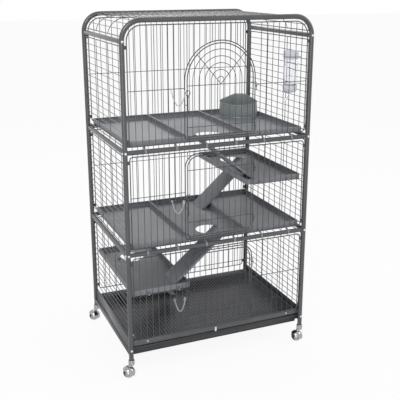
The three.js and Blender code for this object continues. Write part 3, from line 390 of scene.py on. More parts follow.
work = bmesh.new()
for x, side in ((-half_width, -1), (half_width, 1)):
    for y, out in ((-half_depth, -1), (half_depth, 1)):
        for height in rail_heights:
            post_bolt(work, (x, y, height), (0, out, 0))
    for y, lowest in ((-half_depth, 1), (half_depth, 0)):
        for height in rail_heights[lowest:3]:
            post_bolt(work, (x, y, height), (side, 0, 0))
small_bolt = Vector((-half_width + 10, -half_depth - 2, 212))
straight_rod(work, small_bolt, small_bolt + Vector((2.5, 0, 0)), 3.6, 12)
finish_piece(work, "frame_bolts", "root", zinc)


# ---- Wire panels ----
# Each wall of the cage is a welded panel: a thick edge wire all round, thin bars on its outer face
# and support wires across them on its inner face. Flat lugs fix it to the posts. Dark powder coat.
wire_paint = coat_material("wire paint", (0.03, 0.031, 0.034), (0.08, 0.083, 0.09), 0.28, 1200, 3000,
                           0.2, 0.35, 0.5)
mesh_wire = 1.6
edge_wire = 2.4
wire_offset = 1.45
edge_inset = 20.6
front_span = half_width - edge_inset
side_span = half_depth - edge_inset
panel_corner = 12.0
panel_rises = [43, 25, 25]
low_side_rise = 32.8
panel_drop = 20
bar_spaces = 29
side_bar_spaces = 14
bar_pitch = 2 * front_span / bar_spaces
bar_places = [i * bar_pitch - front_span for i in range(1, bar_spaces)]
mid_wire_drop = 205.0
tier_names = ["bottom", "middle", "top"]


def wall_place(turn, x, y):
    upright_plane = Matrix.Rotation(turn, 4, "Z") @ Matrix.Rotation(math.pi / 2, 4, "X")
    return Matrix.Translation((x, y, 0)) @ upright_plane


front_wall = wall_place(0, 0, -half_depth)
right_wall = wall_place(math.pi / 2, half_width, 0)
rear_wall = wall_place(math.pi, 0, half_depth)
left_wall = wall_place(-math.pi / 2, -half_width, 0)


def corner_stops(centre_x, centre_y, radius, first, depth, steps, turn=90):
    """Stops on a bend in a panel's own plane, which turns on from a first angle in degrees."""
    return [(centre_x + radius * math.cos(a), centre_y + radius * math.sin(a), depth)
            for a in sweep(first, first + turn, steps)]


def loop_stops(left, right, bottom, top, low_radius, high_radius, depth=0.0):
    """A closed loop with round corners in a panel's own plane."""
    steps = 3 if high_radius < 20 else 8
    return [*corner_stops(right - low_radius, bottom + low_radius, low_radius, -90, depth, 3),
            *corner_stops(right - high_radius, top - high_radius, high_radius, 0, depth, steps),
            *corner_stops(left + high_radius, top - high_radius, high_radius, 90, depth, steps),
            *corner_stops(left + low_radius, bottom + low_radius, low_radius, 180, depth, 3)]


def corner_drop(x, half_span, radius):
    into = abs(x) - (half_span - radius)
    return radius - math.sqrt(max(radius * radius - into * into, 0)) if into > 0 else 0


def tier_edges(tier):
    """Lower and upper edge of a front or rear panel, and the radius of its upper corners."""
    bottom = rail_heights[tier] + panel_rises[tier]
    if tier == 2:
        return bottom, arch_top - edge_inset, arch_radius - edge_inset
    return bottom, rail_heights[tier + 1] - panel_drop, panel_corner


def upright(work, x, bottom, top, depth=wire_offset):
    straight_rod(work, (x, bottom, depth), (x, top, depth), mesh_wire)


def level(work, left, right, height, depth=-wire_offset):
    straight_rod(work, (left, height, depth), (right, height, depth), mesh_wire)


def round_off(work, geom, offset, segments, affect="EDGES"):
    bmesh.ops.bevel(work, geom=geom, offset=offset, affect=affect, segments=segments, profile=0.5,
                    material=-1)


def edged_panel(half_span, bottom, top, round_corner, lug_top):
    """A panel's edge wire, and flat lugs from it to the posts near its corners."""
    work = bmesh.new()
    bent_rod(work, loop_stops(-half_span, half_span, bottom, top, panel_corner, round_corner), edge_wire, 10,
             True)
    lug_inset, lug_height, lug_sheet = 24, 16, 3
    reach = half_span + edge_inset - tube_radius
    for height in (bottom + lug_inset, lug_top - lug_inset):
        for side in (-1, 1):
            place = Matrix.Translation((side * (half_span + reach) / 2, height, 0))
            size = Matrix.Diagonal((reach - half_span, lug_height, lug_sheet, 1))
            lug = bmesh.ops.create_cube(work, size=1, matrix=place @ size)["verts"]
            round_off(work, edges_at(lug), 0.6, 2)
    return work


def place_on(work, wall):
    bmesh.ops.transform(work, matrix=wall, verts=work.verts)


for tier, tier_name in enumerate(tier_names):
    bottom, top, round_corner = tier_edges(tier)
    work = edged_panel(front_span, bottom, top, round_corner, min(top, rail_heights[tier + 1]))
    for x in bar_places:
        upright(work, x, bottom, top - corner_drop(x, front_span, round_corner))
    level(work, -front_span, front_span, rail_heights[tier + 1] - mid_wire_drop)
    place_on(work, rear_wall)
    finish_piece(work, f"rear_mesh_{tier_name}", "root", wire_paint,
                 [f"rear_panel_{tier_name}"])
    side_bottom = rail_heights[0] + low_side_rise if tier == 0 else bottom
    side_top = rail_heights[tier + 1] - panel_drop
    for side_name, wall in (("left", left_wall), ("right", right_wall)):
        work = edged_panel(side_span, side_bottom, side_top, panel_corner, side_top)
        for i in range(1, side_bar_spaces):
            height = side_bottom + (side_top - side_bottom) * i / side_bar_spaces
            level(work, -side_span, side_span, height, wire_offset)
        for x in (-side_span / 3, side_span / 3):
            upright(work, x, side_bottom, side_top, -wire_offset)
        place_on(work, wall)
        finish_piece(work, f"side_mesh_{side_name}_{tier_name}", "root", wire_paint,
                     [f"side_panel_{side_name}_{tier_name}"])


# ---- Roof ----
# One welded panel is bent over both arch corners. Its bars run from front to rear on four hoops, two
# of edge wire beside the arches and two thinner ones between them.
hood_start = math.asin(panel_drop / arch_radius)
roof_spread = half_width - arch_radius
roof_arc = arch_radius * (math.pi / 2 - hood_start)
roof_reach = roof_arc + roof_spread
roof_bar_spaces = 32


def over_arch(along, y, rise=0.0):
    """The point over the arches at a distance along the roof from its middle."""
    bend = max(abs(along) - roof_spread, 0) / arch_radius
    side = 1 if along >= 0 else -1
    normal = Vector((side * math.sin(bend), 0, math.cos(bend)))
    middle = Vector((side * min(abs(along), roof_spread), y, rail_heights[3]))
    return middle + normal * (arch_radius + rise)


def hoop_stops(y, rise):
    bends = [roof_spread + roof_arc * i / 10 for i in range(11)]
    return [over_arch(place, y, rise) for place in (*[-bend for bend in reversed(bends)], *bends)]


work = bmesh.new()
for y in (-side_span, side_span):
    bent_rod(work, hoop_stops(y, 0), edge_wire, 10)
    bent_rod(work, hoop_stops(y / 3, -wire_offset), mesh_wire, 8)
for i in range(roof_bar_spaces + 1):
    along = (2 * i / roof_bar_spaces - 1) * roof_reach
    rise, wire = (0, edge_wire) if i in (0, roof_bar_spaces) else (wire_offset, mesh_wire)
    straight_rod(work, over_arch(along, -side_span, rise), over_arch(along, side_span, rise), wire)
finish_piece(work, "roof_mesh", "root", wire_paint, ["roof_panel"])


# ---- Door openings ----
# The front panel of each tier has an opening with its own thick wire. Two short wire eyes at its
# right hold the pins of the door. The safety chain hangs from the bars at its left.
opening_left = -173.0
opening_right = 165.0
opening_middle = (opening_left + opening_right) / 2
opening_half = (opening_right - opening_left) / 2
opening_rises = [56, 38, 38]
opening_drop = 31
opening_corner = 60
fan_foot_corner = 8
door_gap = 11.0
fan_centre = rail_heights[2] + 290
hinge_x = opening_right + 5
pin_proud = 4.4
pin_radius = 1.8
pin_heights = [(497, 254), (963, 720), (1338, 1157)]
eye_drop = 18
bar_clearance = 4


def opening_floor(tier):
    return rail_heights[tier] + opening_rises[tier]


def opening_ceiling(tier, x, shrink):
    half = opening_half - shrink
    offset = x - opening_middle
    if tier == 2:
        return fan_centre + math.sqrt(half * half - offset * offset)
    return rail_heights[tier + 1] - opening_drop - shrink - corner_drop(offset, half, opening_corner - shrink)


def door_stops(tier, shrink, depth):
    """The wire round an opening, or round its door where it is drawn in by the gap between them."""
    low = opening_floor(tier) + shrink
    half = opening_half - shrink
    left, right = opening_middle - half, opening_middle + half
    if tier < 2:
        return loop_stops(left, right, low, rail_heights[tier + 1] - opening_drop - shrink, panel_corner,
                          opening_corner - shrink, depth)
    foot = fan_foot_corner
    return [*corner_stops(right - foot, low + foot, foot, -90, depth, 3),
            *corner_stops(opening_middle, fan_centre, half, 0, depth, 28, 180),
            *corner_stops(left + foot, low + foot, foot, 180, depth, 3)]


def wire_eye(work, x, height, proud, bore, tall, wire):
    """A short sleeve of wire, wound twice round an upright pin."""
    steps = 24
    reach = bore + wire
    stops = [(x + reach * math.cos(a), height + (tall - 2 * wire) * (i / steps - 0.5),
              proud + reach * math.sin(a))
             for i, a in enumerate(sweep(0, 720, steps))]
    bent_rod(work, stops, wire, 6)


for tier, tier_name in enumerate(tier_names):
    bottom, top, round_corner = tier_edges(tier)
    work = edged_panel(front_span, bottom, top, round_corner, min(top, rail_heights[tier + 1]))
    bent_rod(work, door_stops(tier, 0, 0), edge_wire, 10, True)
    for x in bar_places:
        ceiling = top - corner_drop(x, front_span, round_corner)
        inside = opening_half - abs(x - opening_middle)
        if inside < -bar_clearance:
            upright(work, x, bottom, ceiling)
        elif inside > bar_clearance:
            upright(work, x, bottom, opening_floor(tier))
            upright(work, x, opening_ceiling(tier, x, 0), ceiling)
    middle_height = rail_heights[tier + 1] - mid_wire_drop
    level(work, -front_span, opening_left, middle_height)
    level(work, opening_right, front_span, middle_height)
    for height in pin_heights[tier]:
        eye = height - eye_drop
        wire_eye(work, hinge_x, eye, pin_proud, pin_radius + 0.4, 5, 1.1)
        straight_rod(work, (opening_right + 1, eye, 1.2), (hinge_x, eye, pin_proud - 2.6), 1.3)
    place_on(work, front_wall)
    finish_piece(work, f"front_mesh_{tier_name}", "root", wire_paint,
                 [f"front_panel_{tier_name}"])


# ---- Doors ----
# A door is a bent edge wire with bars behind two cross wires. These run past the hinge side and are
# bent down as pins. The top door is a fan of nested arches under two slanted rods.
latch_x = opening_left + door_gap
latch_proud = 8.4
latch_heights = [rail_heights[tier] + 190 for tier in range(3)]
door_bar_depth = 1.3
fan_step = 29.4
pin_length = 38
pin_bend = 5


def hinge_wire(work, height):
    corner = [(hinge_x - pin_bend * (1 - math.sin(a)), height - pin_bend * (1 - math.cos(a)), pin_proud)
              for a in sweep(0, 90, 4)]
    bent_rod(work, [(latch_x, height, pin_proud), *corner, (hinge_x, height - pin_length, pin_proud)],
             mesh_wire, 8)


for tier, tier_name in enumerate(tier_names):
    work = bmesh.new()
    bent_rod(work, door_stops(tier, door_gap, 2), edge_wire, 10, True)
    half = opening_half - door_gap
    low = opening_floor(tier) + door_gap
    if tier < 2:
        for x in bar_places:
            if abs(x - opening_middle) < half - 5:
                upright(work, x, low, opening_ceiling(tier, x, door_gap), door_bar_depth)
    else:
        radius = fan_step / 2
        while radius < half - fan_step / 2:
            crown = corner_stops(opening_middle, fan_centre, radius, 0, door_bar_depth, 24, 180)
            bent_rod(work, [(opening_middle + radius, low, door_bar_depth), *crown,
                            (opening_middle - radius, low, door_bar_depth)], mesh_wire, 8)
            radius += fan_step
        reach = half * math.sqrt(0.5)
        for side in (-1, 1):
            straight_rod(work, (opening_middle, fan_centre - 18, pin_proud),
                         (opening_middle + side * reach, fan_centre + reach, pin_proud - 0.6), mesh_wire)
    for height in pin_heights[tier]:
        hinge_wire(work, height)
    for shift in (34.7, -26.7):
        wire_eye(work, latch_x, latch_heights[tier] + shift, latch_proud, 3.3, 5, 1.0)
    place_on(work, front_wall)
    finish_piece(work, f"door_mesh_{tier_name}", f"door_{tier_name}", wire_paint,
                 [f"door_{tier_name}"])


# ---- Slide latches ----
# A short rod slides up and down in two wire eyes on the door. It ends in a pull ring above, and its
# bent finger points across the gap to the wire of the opening.
def ring_stops(centre, radius, steps):
    return corner_stops(centre[0], centre[1], radius, 0, centre[2], steps, 360)[:-1]


for tier, tier_name in enumerate(tier_names):
    middle = latch_heights[tier]
    foot = (latch_x, middle - 38, latch_proud)
    work = bmesh.new()
    straight_rod(work, foot, (latch_x, middle + 39, latch_proud), 2.9, 12)
    straight_rod(work, (latch_x, middle - 40, latch_proud), foot, 1.8, 12, 2.9)
    bent_rod(work, ring_stops((latch_x, middle + 51, latch_proud), 11, 20), 1.7, 8, True)
    finger = [(0, latch_proud), (8, 8.0), (13.5, 6.0), (14, 3.2)]
    bent_rod(work, [(latch_x - out, middle, proud) for out, proud in finger], 1.8, 8)
    place_on(work, front_wall)
    finish_piece(work, f"latch_rod_{tier_name}", f"latch_{tier_name}", wire_paint,
                 [f"latch_slide_{tier_name}"])


# ---- Safety chains ----
# A short zinc chain of oval links hangs from a hook on each fixed panel, left of the latch. A spring
# clip at its other end goes through the pull ring when the cage is locked.
chain_zinc = metal_material("chain zinc", (0.62, 0.63, 0.64), 0.32, 400, 0.12)
chain_links = 22
chain_ends = [
    ((-232, 347, 7), (-206, 290, 7), (-183, 338, 9)),
    ((-238, 826, 7), (-212, 772, 7), (-184, 812, 9)),
    ((-239, 1330, 7), (-207, 1256, 7), (-176, 1300, 9)),
]


def link_stops(half_long, half_wide):
    reach = half_long - half_wide
    return [*corner_stops(reach, 0, half_wide, -90, 0, 4, 180),
            *corner_stops(-reach, 0, half_wide, 90, 0, 4, 180)]


def hang(start, low, end, share):
    """A point of a slack chain between two ends, which passes through its lowest point."""
    start, low, end = Vector(start), Vector(low), Vector(end)
    control = low * 2 - (start + end) / 2
    return start * (1 - share) ** 2 + control * 2 * share * (1 - share) + end * share ** 2


for tier, tier_name in enumerate(tier_names):
    start, low, end = chain_ends[tier]
    work = bmesh.new()
    for i in range(chain_links):
        here = hang(start, low, end, (i + 0.5) / chain_links)
        along = hang(start, low, end, (i + 1) / chain_links) - hang(start, low, end, i / chain_links)
        turn = along.to_track_quat("X", "Z").to_matrix().to_4x4()
        roll = Matrix.Rotation(math.radians(45 if i % 2 else -45), 4, "X")
        made = bent_rod(work, link_stops(along.length / 2 + 1.9, 2.5), 0.8, 5, True)
        bmesh.ops.transform(work, matrix=Matrix.Translation(here) @ turn @ roll, verts=made)
    bent_rod(work, ring_stops((start[0], start[1] + 4, start[2] - 2), 4.5, 12), 1.0, 6, True)
    x, y, z = end
    clip = [(x + 4 * math.cos(a), y + 9 + 9 * math.sin(a), z) for a in sweep(0, 360, 14)[:-1]]
    bent_rod(work, clip, 1.3, 6, True)
    straight_rod(work, (x - 4, y + 4, z), (x - 3.4, y + 14, z), 1.7)
    bent_rod(work, [(x + 4, y + 9, z), (x + 8, y + 12, z - 1), (x + 11, y + 11, z - 3)], 1.2, 6)
    place_on(work, front_wall)
    finish_piece(work, f"safety_chain_{tier_name}", "root", chain_zinc)


# ---- Shelf pans ----
# Six pans, three on each of two levels, are folded from thin sheet steel with a turned-in rim, and
# coated a lighter grey than the wires. The middle ones have a round hole for the animals.
sheet_paint = coat_material("sheet paint", (0.16, 0.165, 0.178), (0.26, 0.267, 0.285), 0.38, 620, 1700,
                            0.35, 0.0, 0.1)
pan_wall = 27.0
pan_inset = 20
pan_front = 22 - half_depth
pan_gap = 1.5
pan_width = (2 * half_width - 2 * pan_inset - 2 * pan_gap) / 3
pan_starts = [pan_inset - half_width + index * (pan_width + pan_gap) for index in range(3)]
pan_middles = [start + pan_width / 2 for start in pan_starts]
pan_levels = [rail_heights[1] + 17, rail_heights[2] + 17]
hole_radius = 63.0
hole_y = half_depth - 142


def rise_from(work, edges, step, grow=None, centre=None):
    """Folds the sheet on from some edges by a step, and can draw it in or out around a centre."""
    made = bmesh.ops.extrude_edge_only(work, edges=edges)["geom"]
    verts = verts_of(made)
    bmesh.ops.translate(work, vec=step, verts=verts)
    if grow:
        size = Matrix.Diagonal((*grow, 1, 1))
        place = Matrix.Translation(centre) @ size @ Matrix.Translation(-centre)
        bmesh.ops.transform(work, matrix=place, verts=verts)
    return edges_of(made)


def flat_sheet(work, middle, width, depth):
    """A level rectangle of sheet, to be folded on from its edges."""
    place = Matrix.Translation(middle) @ Matrix.Diagonal((width, depth, 1, 1))
    return bmesh.ops.create_grid(work, x_segments=1, y_segments=1, size=0.5, matrix=place)["verts"]


def fold_pan(left, right, front, rear, bottom, wall, hole=None):
    """A floor with round corners, four walls, a turned-in rim, and a hole in the floor where asked."""
    half_sheet, rim_width, rim_drop = 0.65, 3.5, 4
    left, right = left + half_sheet, right - half_sheet
    front, rear = front + half_sheet, rear - half_sheet
    bottom += half_sheet
    centre = Vector(((left + right) / 2, (front + rear) / 2, bottom))
    width, depth = right - left, rear - front
    work = bmesh.new()
    round_off(work, flat_sheet(work, centre, width, depth), 5, 3, "VERTICES")
    outer = list(work.edges)
    if hole:
        bmesh.ops.delete(work, geom=list(work.faces), context="FACES_ONLY")
        middle = Vector((*hole, bottom))
        rim = edges_at(bmesh.ops.create_circle(work, cap_ends=False, segments=56, radius=hole_radius,
                                               matrix=Matrix.Translation(middle))["verts"])
        bmesh.ops.triangle_fill(work, use_beauty=True, edges=outer + rim)
        share = (hole_radius - 1.2) / hole_radius
        rise_from(work, rise_from(work, rim, (0, 0, -0.4), (share, share), middle), (0, 0, -0.2))
    top = rise_from(work, outer, (0, 0, wall - 2 * half_sheet))
    draw_in = (1 - 2 * rim_width / width, 1 - 2 * rim_width / depth)
    rise_from(work, rise_from(work, top, (0, 0, 0), draw_in, centre), (0, 0, -rim_drop))
    round_off(work, outer, 2.4, 3)
    rim_edges = [edge for edge in work.edges if abs(edge.verts[0].co.z - edge.verts[1].co.z) < 0.01
                 and edge.verts[0].co.z > bottom + wall - 3 and len(edge.link_faces) == 2]
    round_off(work, rim_edges, 1.0, 2)
    bmesh.ops.recalc_face_normals(work, faces=work.faces)
    return work


def give_thickness(piece, thickness=0.0013, edge=0.0004):
    solid = piece.modifiers.new("sheet", "SOLIDIFY")
    solid.thickness = thickness
    solid.offset = 0
    solid.use_even_offset = True
    rounding = piece.modifiers.new("edge", "BEVEL")
    rounding.width = edge
    rounding.segments = 1
    rounding.limit_method = "ANGLE"
    rounding.angle_limit = math.radians(50)


def add_shelf(name, node, index, bottom, hole=None):
    """A pan in the left, middle or right third of the cage, as index 0, 1 or 2."""
    left = pan_starts[index]
    work = fold_pan(left, left + pan_width, pan_front, -pan_front, bottom, pan_wall, hole)
    give_thickness(finish_piece(work, name, "root", sheet_paint, [node]))


for level_name, bottom in zip(("lower", "upper"), pan_levels):
    for index, pan_name in enumerate(("left", "middle", "right")):
        hole = (pan_middles[1], -hole_y) if index == 1 else None
        add_shelf(f"pan_{level_name}_{pan_name}", f"shelf_pan_{level_name}_{pan_name}", index, bottom, hole)


# ---- Half shelves ----
# Two more pans of the same sheet hang half-way between the levels, one on the right and one on the
# left, on the level wires of the panels. Each has a round hole near the rear.
half_shelf_bottoms = {"right": rail_heights[2] - mid_wire_drop - 7,
                      "left": rail_heights[1] - mid_wire_drop - 7}
half_shelf_thirds = {"right": 2, "left": 0}
for shelf_name, index in half_shelf_thirds.items():
    add_shelf(f"half_pan_{shelf_name}", f"half_shelf_{shelf_name}", index, half_shelf_bottoms[shelf_name],
              (pan_middles[index], hole_y))


# ---- Pan hooks ----
# Each pan hangs on the rails by four painted straps, riveted to its front and rear walls. The half
# shelves have smaller ones over the level wires of the panels.
def strap_hook(work, x, side, rod_y, rod_z, rod_radius, wall_low, wall_top):
    """A flat strap from a pan's wall over a rod. side is -1 at the front and 1 at the rear."""
    thick, flatness = 1.1, 4.2
    turn_radius = rod_radius + thick + 0.4
    wall_y = -pan_front + thick * 0.6
    bend = [(rod_y + turn_radius * math.cos(a), rod_z + turn_radius * math.sin(a))
            for a in sweep(125, -25, 9)]
    stops = [(wall_y, wall_low), (wall_y, wall_top - 3), (wall_y + 1.4, wall_top), *bend]
    for vert in bent_rod(work, [(x, side * y, z) for y, z in stops], thick, 8):
        vert.co.x = x + (vert.co.x - x) * flatness
    round_head(work, (x, side * (wall_y + thick * 0.8), wall_low + 4), (0, side, 0), 2.4, 1.4)


hook_inset = 70.0
work = bmesh.new()
for rail, bottom in zip(rail_heights[1:], pan_levels):
    for left in pan_starts:
        for x in (left + hook_inset, left + pan_width - hook_inset):
            for side in (-1, 1):
                strap_hook(work, x, side, half_depth, rail, tube_radius, bottom + 3, bottom + 20)
finish_piece(work, "pan_hooks", "root", sheet_paint)
work = bmesh.new()
for shelf_name, index in half_shelf_thirds.items():
    left = pan_starts[index]
    bottom = half_shelf_bottoms[shelf_name]
    first_bar = math.ceil((left + hook_inset + front_span) / bar_pitch)
    last_bar = math.floor((left + pan_width - hook_inset + front_span) / bar_pitch)
    for count in (first_bar - 0.5, last_bar + 0.5):
        x = count * bar_pitch - front_span
        for side in (-1, 1):
            strap_hook(work, x, side, half_depth - wire_offset, bottom + 7, mesh_wire, bottom + 2,
                       bottom + 13)
finish_piece(work, "half_shelf_hooks", "root", sheet_paint)


# ---- Ramps ----
# Four slides of sheet steel lead from hole to hole. Their sides are turned down, a tongue hooks over
# the rim of the hole above, and rows of small pressed dimples give the animals a grip.
ramp_paint = coat_material("ramp paint", (0.17, 0.18, 0.198), (0.28, 0.292, 0.318), 0.34, 520, 1500,
                           0.5, 0.0, 0.1)
ramp_width = 126.0
ramp_sheet = 1.5
flange = 12.0
dimple_step = 11
dimple_columns = 10
column_step = 11.3
tongue_width = 30.0
tongue_length = 13
tongue_lean = math.radians(25)
tongue_wire = 0.75
rim_sag = hole_radius - math.sqrt(hole_radius ** 2 - (tongue_width / 2) ** 2)
tongue_x = rim_sag + 0.3
plate_drop = ramp_sheet + 0.6


def ramp_slope(run, drop):
    slope = math.atan2(drop, run)
    for _ in range(8):
        slope = math.atan2(drop - plate_drop - 0.3 - ramp_sheet * math.cos(slope), run - tongue_x)
    return slope


def fold_ramp(run, drop):
    """A ramp that comes down towards +X, drawn from the rim of its hole."""
    slope = ramp_slope(run, drop)
    length = (run - tongue_x) / math.cos(slope)
    work = bmesh.new()
    flat_sheet(work, (length / 2, 0, -ramp_sheet / 2), length, ramp_width - ramp_sheet)
    sides = [edge for edge in work.edges if abs(edge.verts[0].co.y - edge.verts[1].co.y) < 0.01]
    foot_cut = flange / math.tan(slope) + 8
    for vert in verts_of(bmesh.ops.extrude_edge_only(work, edges=sides)["geom"]):
        vert.co.x = length - foot_cut if vert.co.x > length / 2 else 16
        vert.co.z -= flange - ramp_sheet / 2
    round_off(work, sides, 1.6, 3)
    for row in range(int((length - 30) / dimple_step)):
        shift = 2.8 if row % 2 else -2.8
        for column in range(dimple_columns):
            place = Matrix.Translation((18 + row * dimple_step, -51 + column * column_step + shift, 0.35))
            bmesh.ops.create_cone(work, cap_ends=True, segments=6, radius1=2.3, radius2=1.0, depth=0.9,
                                  matrix=place)
    turn = Matrix.Translation((tongue_x, 0, -plate_drop)) @ Matrix.Rotation(slope, 4, "Y")
    bmesh.ops.transform(work, matrix=turn, verts=work.verts)
    stops = [(tongue_x + 4, 0, -plate_drop - 2.6), (tongue_x + 1.2, 0, -0.6), (tongue_x, 0, 1.2),
             (tongue_x - tongue_length * math.cos(tongue_lean), 0,
              1.2 + tongue_length * math.sin(tongue_lean))]
    for vert in bent_rod(work, stops, tongue_wire, 8):
        vert.co.y *= tongue_width / (2 * tongue_wire)
    return work


upper_floor, lower_floor = pan_levels[1] + 1.5, pan_levels[0] + 1.5
right_floor, left_floor = half_shelf_bottoms["right"] + 1.5, half_shelf_bottoms["left"] + 1.5
grate_middle = rail_heights[0] + 21
grate_top = grate_middle + 1.55 + 0.75
ramps = [("upper", pan_middles[1], -hole_y, 1, 290, upper_floor, right_floor),
         ("middle", pan_middles[2], hole_y, -1, 265, right_floor, lower_floor),
         ("lower", pan_middles[1], -hole_y, -1, 268, lower_floor, left_floor),
         ("floor", pan_middles[0], hole_y, 1, 283, left_floor, grate_top)]
for ramp_name, x, y, towards, run, high, low in ramps:
    work = fold_ramp(run, high - low)
    place = Matrix.Translation((x - towards * hole_radius, y, high))
    if towards < 0:
        place = place @ Matrix.Rotation(math.pi, 4, "Z")
    bmesh.ops.transform(work, matrix=place, verts=work.verts)
    bmesh.ops.recalc_face_normals(work, faces=work.faces)
    finish_piece(work, f"slide_{ramp_name}", f"ramp_{ramp_name}", ramp_paint,
                 [f"ramp_{ramp_name}"])


# ---- Litter pan ----
# A corner pan of glossy grey-green plastic with a cut-off rear corner and leaning walls. Its rolled
# rim falls in a straight slope from the corner to the round front, and a low ring is its foot.
def plastic_material(name, dark, light, roughness, scale):
    """Moulded plastic with a faint cloud in its colour and gloss."""
    material, tree, surface = new_surface(name)
    place = add_node(tree, "ShaderNodeTexCoord").outputs["Object"]
    cloud = add_node(tree, "ShaderNodeTexNoise",
                     {"Vector": place, "Scale": scale, "Detail": 4}).outputs["Fac"]
    tint = add_node(tree, "ShaderNodeMix", {"Factor": cloud, "A": (*dark, 1), "B": (*light, 1)},
                    data_type="RGBA")
    gloss = add_node(tree, "ShaderNodeMapRange",
                     {"Value": cloud, "To Min": roughness * 0.7, "To Max": roughness * 1.3})
    skin = add_node(tree, "ShaderNodeTexNoise", {"Vector": place, "Scale": scale * 30}).outputs["Fac"]
    relief = add_node(tree, "ShaderNodeBump", {"Strength": 0.08, "Distance": 0.0004, "Height": skin})
    set_sockets(tree, surface, {"Base Color": tint.outputs["Result"], "Roughness": gloss.outputs["Result"],
                                "Normal": relief.outputs["Normal"]})
    return material


litter_plastic = plastic_material("grey-green plastic", (0.235, 0.262, 0.262), (0.31, 0.337, 0.337), 0.24, 20)
litter_corner = Vector((half_width - 71, half_depth - 52.5, pan_levels[1] + 1.8))
litter_turn = math.radians(13)
litter_radius = 166.0
litter_corner_cut = 43.0
litter_end_round = 28.0
litter_high = 110.0
litter_low = 68.0
litter_top_share = 0.9
litter_floor = 7.5
litter_wall_rows = [(9, 0.0), (5, 0.03), (3.2, 0.1), (2.2, 0.5), (1.6, 0.96), (1.4, 0.982), (0.6, 0.99),
                    (-0.6, 0.975), (-0.8, 0.95)]


def smooth_corner(start, control, end, shares):
    return [tuple(start[k] * (1 - t) ** 2 + control[k] * 2 * t * (1 - t) + end[k] * t ** 2 for k in range(2))
            for t in shares]


def litter_stops(inset, lift=0.0):
    """The pan's outline at one height: a cut rear corner, two straight sides and a round front."""
    radius = litter_radius - inset
    cut_off = litter_corner_cut + inset * (math.sqrt(2) - 1)
    side_end = -radius + litter_end_round
    front = [(radius * math.cos(a), radius * math.sin(a)) for a in sweep(194, 256, 16)]
    shares = [i / 6 for i in range(6)]
    stops = [(-inset, -cut_off - 46), (-inset, -cut_off - 6)]
    stops += smooth_corner(stops[-1], (-inset, -cut_off), (-inset - 5, -cut_off + 5), shares)[1:]
    stops += [(-cut_off + 5, -inset - 5)]
    stops += smooth_corner(stops[-1], (-cut_off, -inset), (-cut_off - 6, -inset), shares)[1:]
    stops += [(-cut_off - 6, -inset), (-cut_off - 46, -inset)]
    stops += smooth_corner((side_end, -inset), (-radius, -inset), front[0], shares) + front
    stops += smooth_corner(front[-1], (-inset, -radius), (-inset, side_end),
                           [share + 1 / 6 for share in shares])
    middle = -0.35 * litter_radius
    lean = 1 + (litter_top_share - 1) * lift / litter_high
    return [(middle + (x - middle) * lean, middle + (y - middle) * lean) for x, y in stops]


def rim_height(x, y):
    corner_depth = litter_corner_cut / math.sqrt(2)
    reach = (-(x + y) / math.sqrt(2) - corner_depth) / (litter_radius - corner_depth)
    return litter_high - (litter_high - litter_low) * reach


def next_ring(work, ring, targets):
    """Draws the wall on from a closed ring of vertices to a new ring on the given points."""
    edges = [work.edges.get((ring[i], ring[i - 1])) for i in range(len(ring))]
    made = set(verts_of(bmesh.ops.extrude_edge_only(work, edges=edges)["geom"]))
    new = [next(e.other_vert(v) for e in v.link_edges if e.other_vert(v) in made) for v in ring]
    for vert, target in zip(new, targets):
        vert.co = target
    return new


work = bmesh.new()
ring = [work.verts.new((x, y, litter_floor - 0.2)) for x, y in litter_stops(14)]
work.faces.new(ring)
for inset, share in litter_wall_rows:
    heights = [litter_floor + (rim_height(x, y) - litter_floor) * share for x, y in litter_stops(inset)]
    ring = next_ring(work, ring,
                     [(*litter_stops(inset, height)[i], height) for i, height in enumerate(heights)])
foot = [work.verts.new((x, y, litter_floor)) for x, y in litter_stops(6)]
for i in range(len(foot)):
    work.edges.new((foot[i - 1], foot[i]))
foot = next_ring(work, foot, [(x, y, 1.2) for x, y in litter_stops(5.5)])
next_ring(work, foot, [(x, y, 1.0) for x, y in litter_stops(12)])
bmesh.ops.recalc_face_normals(work, faces=work.faces)
bmesh.ops.rotate(work, cent=(0, 0, 0), matrix=Matrix.Rotation(litter_turn, 3, "Z"), verts=work.verts)
bmesh.ops.translate(work, vec=litter_corner, verts=work.verts)
piece = finish_piece(work, "litter_bowl", "litter_pan", litter_plastic, ["litter_pan"], 50)
give_thickness(piece, 0.0024, 0.0007)


# ---- Water bottle ----
# A clear bottle with a white cap above and a white cup below hangs on a wire loop on the right side
# panel. A bent steel tube with a ball in its tip leads down from the cup into the cage.
def clear_material():
    material, tree, surface = new_surface("clear plastic")
    place = add_node(tree, "ShaderNodeTexCoord").outputs["Object"]
    cloud = add_node(tree, "ShaderNodeTexNoise", {"Vector": place, "Scale": 60}).outputs["Fac"]
    tint = add_node(tree, "ShaderNodeMix",
                    {"Factor": cloud, "A": (0.9, 0.91, 0.94, 1), "B": (0.97, 0.975, 0.985, 1)},
                    data_type="RGBA")
    haze = add_node(tree, "ShaderNodeMapRange", {"Value": cloud, "To Min": 0.04, "To Max": 0.14})
    set_sockets(tree, surface, {"Transmission Weight": 1.0, "IOR": 1.2, "Base Color": tint.outputs["Result"],
                                "Roughness": haze.outputs["Result"]})
    return material


clear_plastic = clear_material()
white_plastic = plastic_material("milky white plastic", (0.62, 0.62, 0.68), (0.74, 0.74, 0.79), 0.3, 30)
steel = metal_material("bright steel", (0.7, 0.71, 0.72), 0.18, 300, 0.08)
bottle_place = Vector((half_width - 40, 110 - half_depth, rail_heights[2] + 230))
cap_ribs = 36


def point_row(work, points):
    """The edges of a row of points that are joined one to the next."""
    verts = [work.verts.new(point) for point in points]
    return [work.edges.new(pair) for pair in zip(verts, verts[1:])]


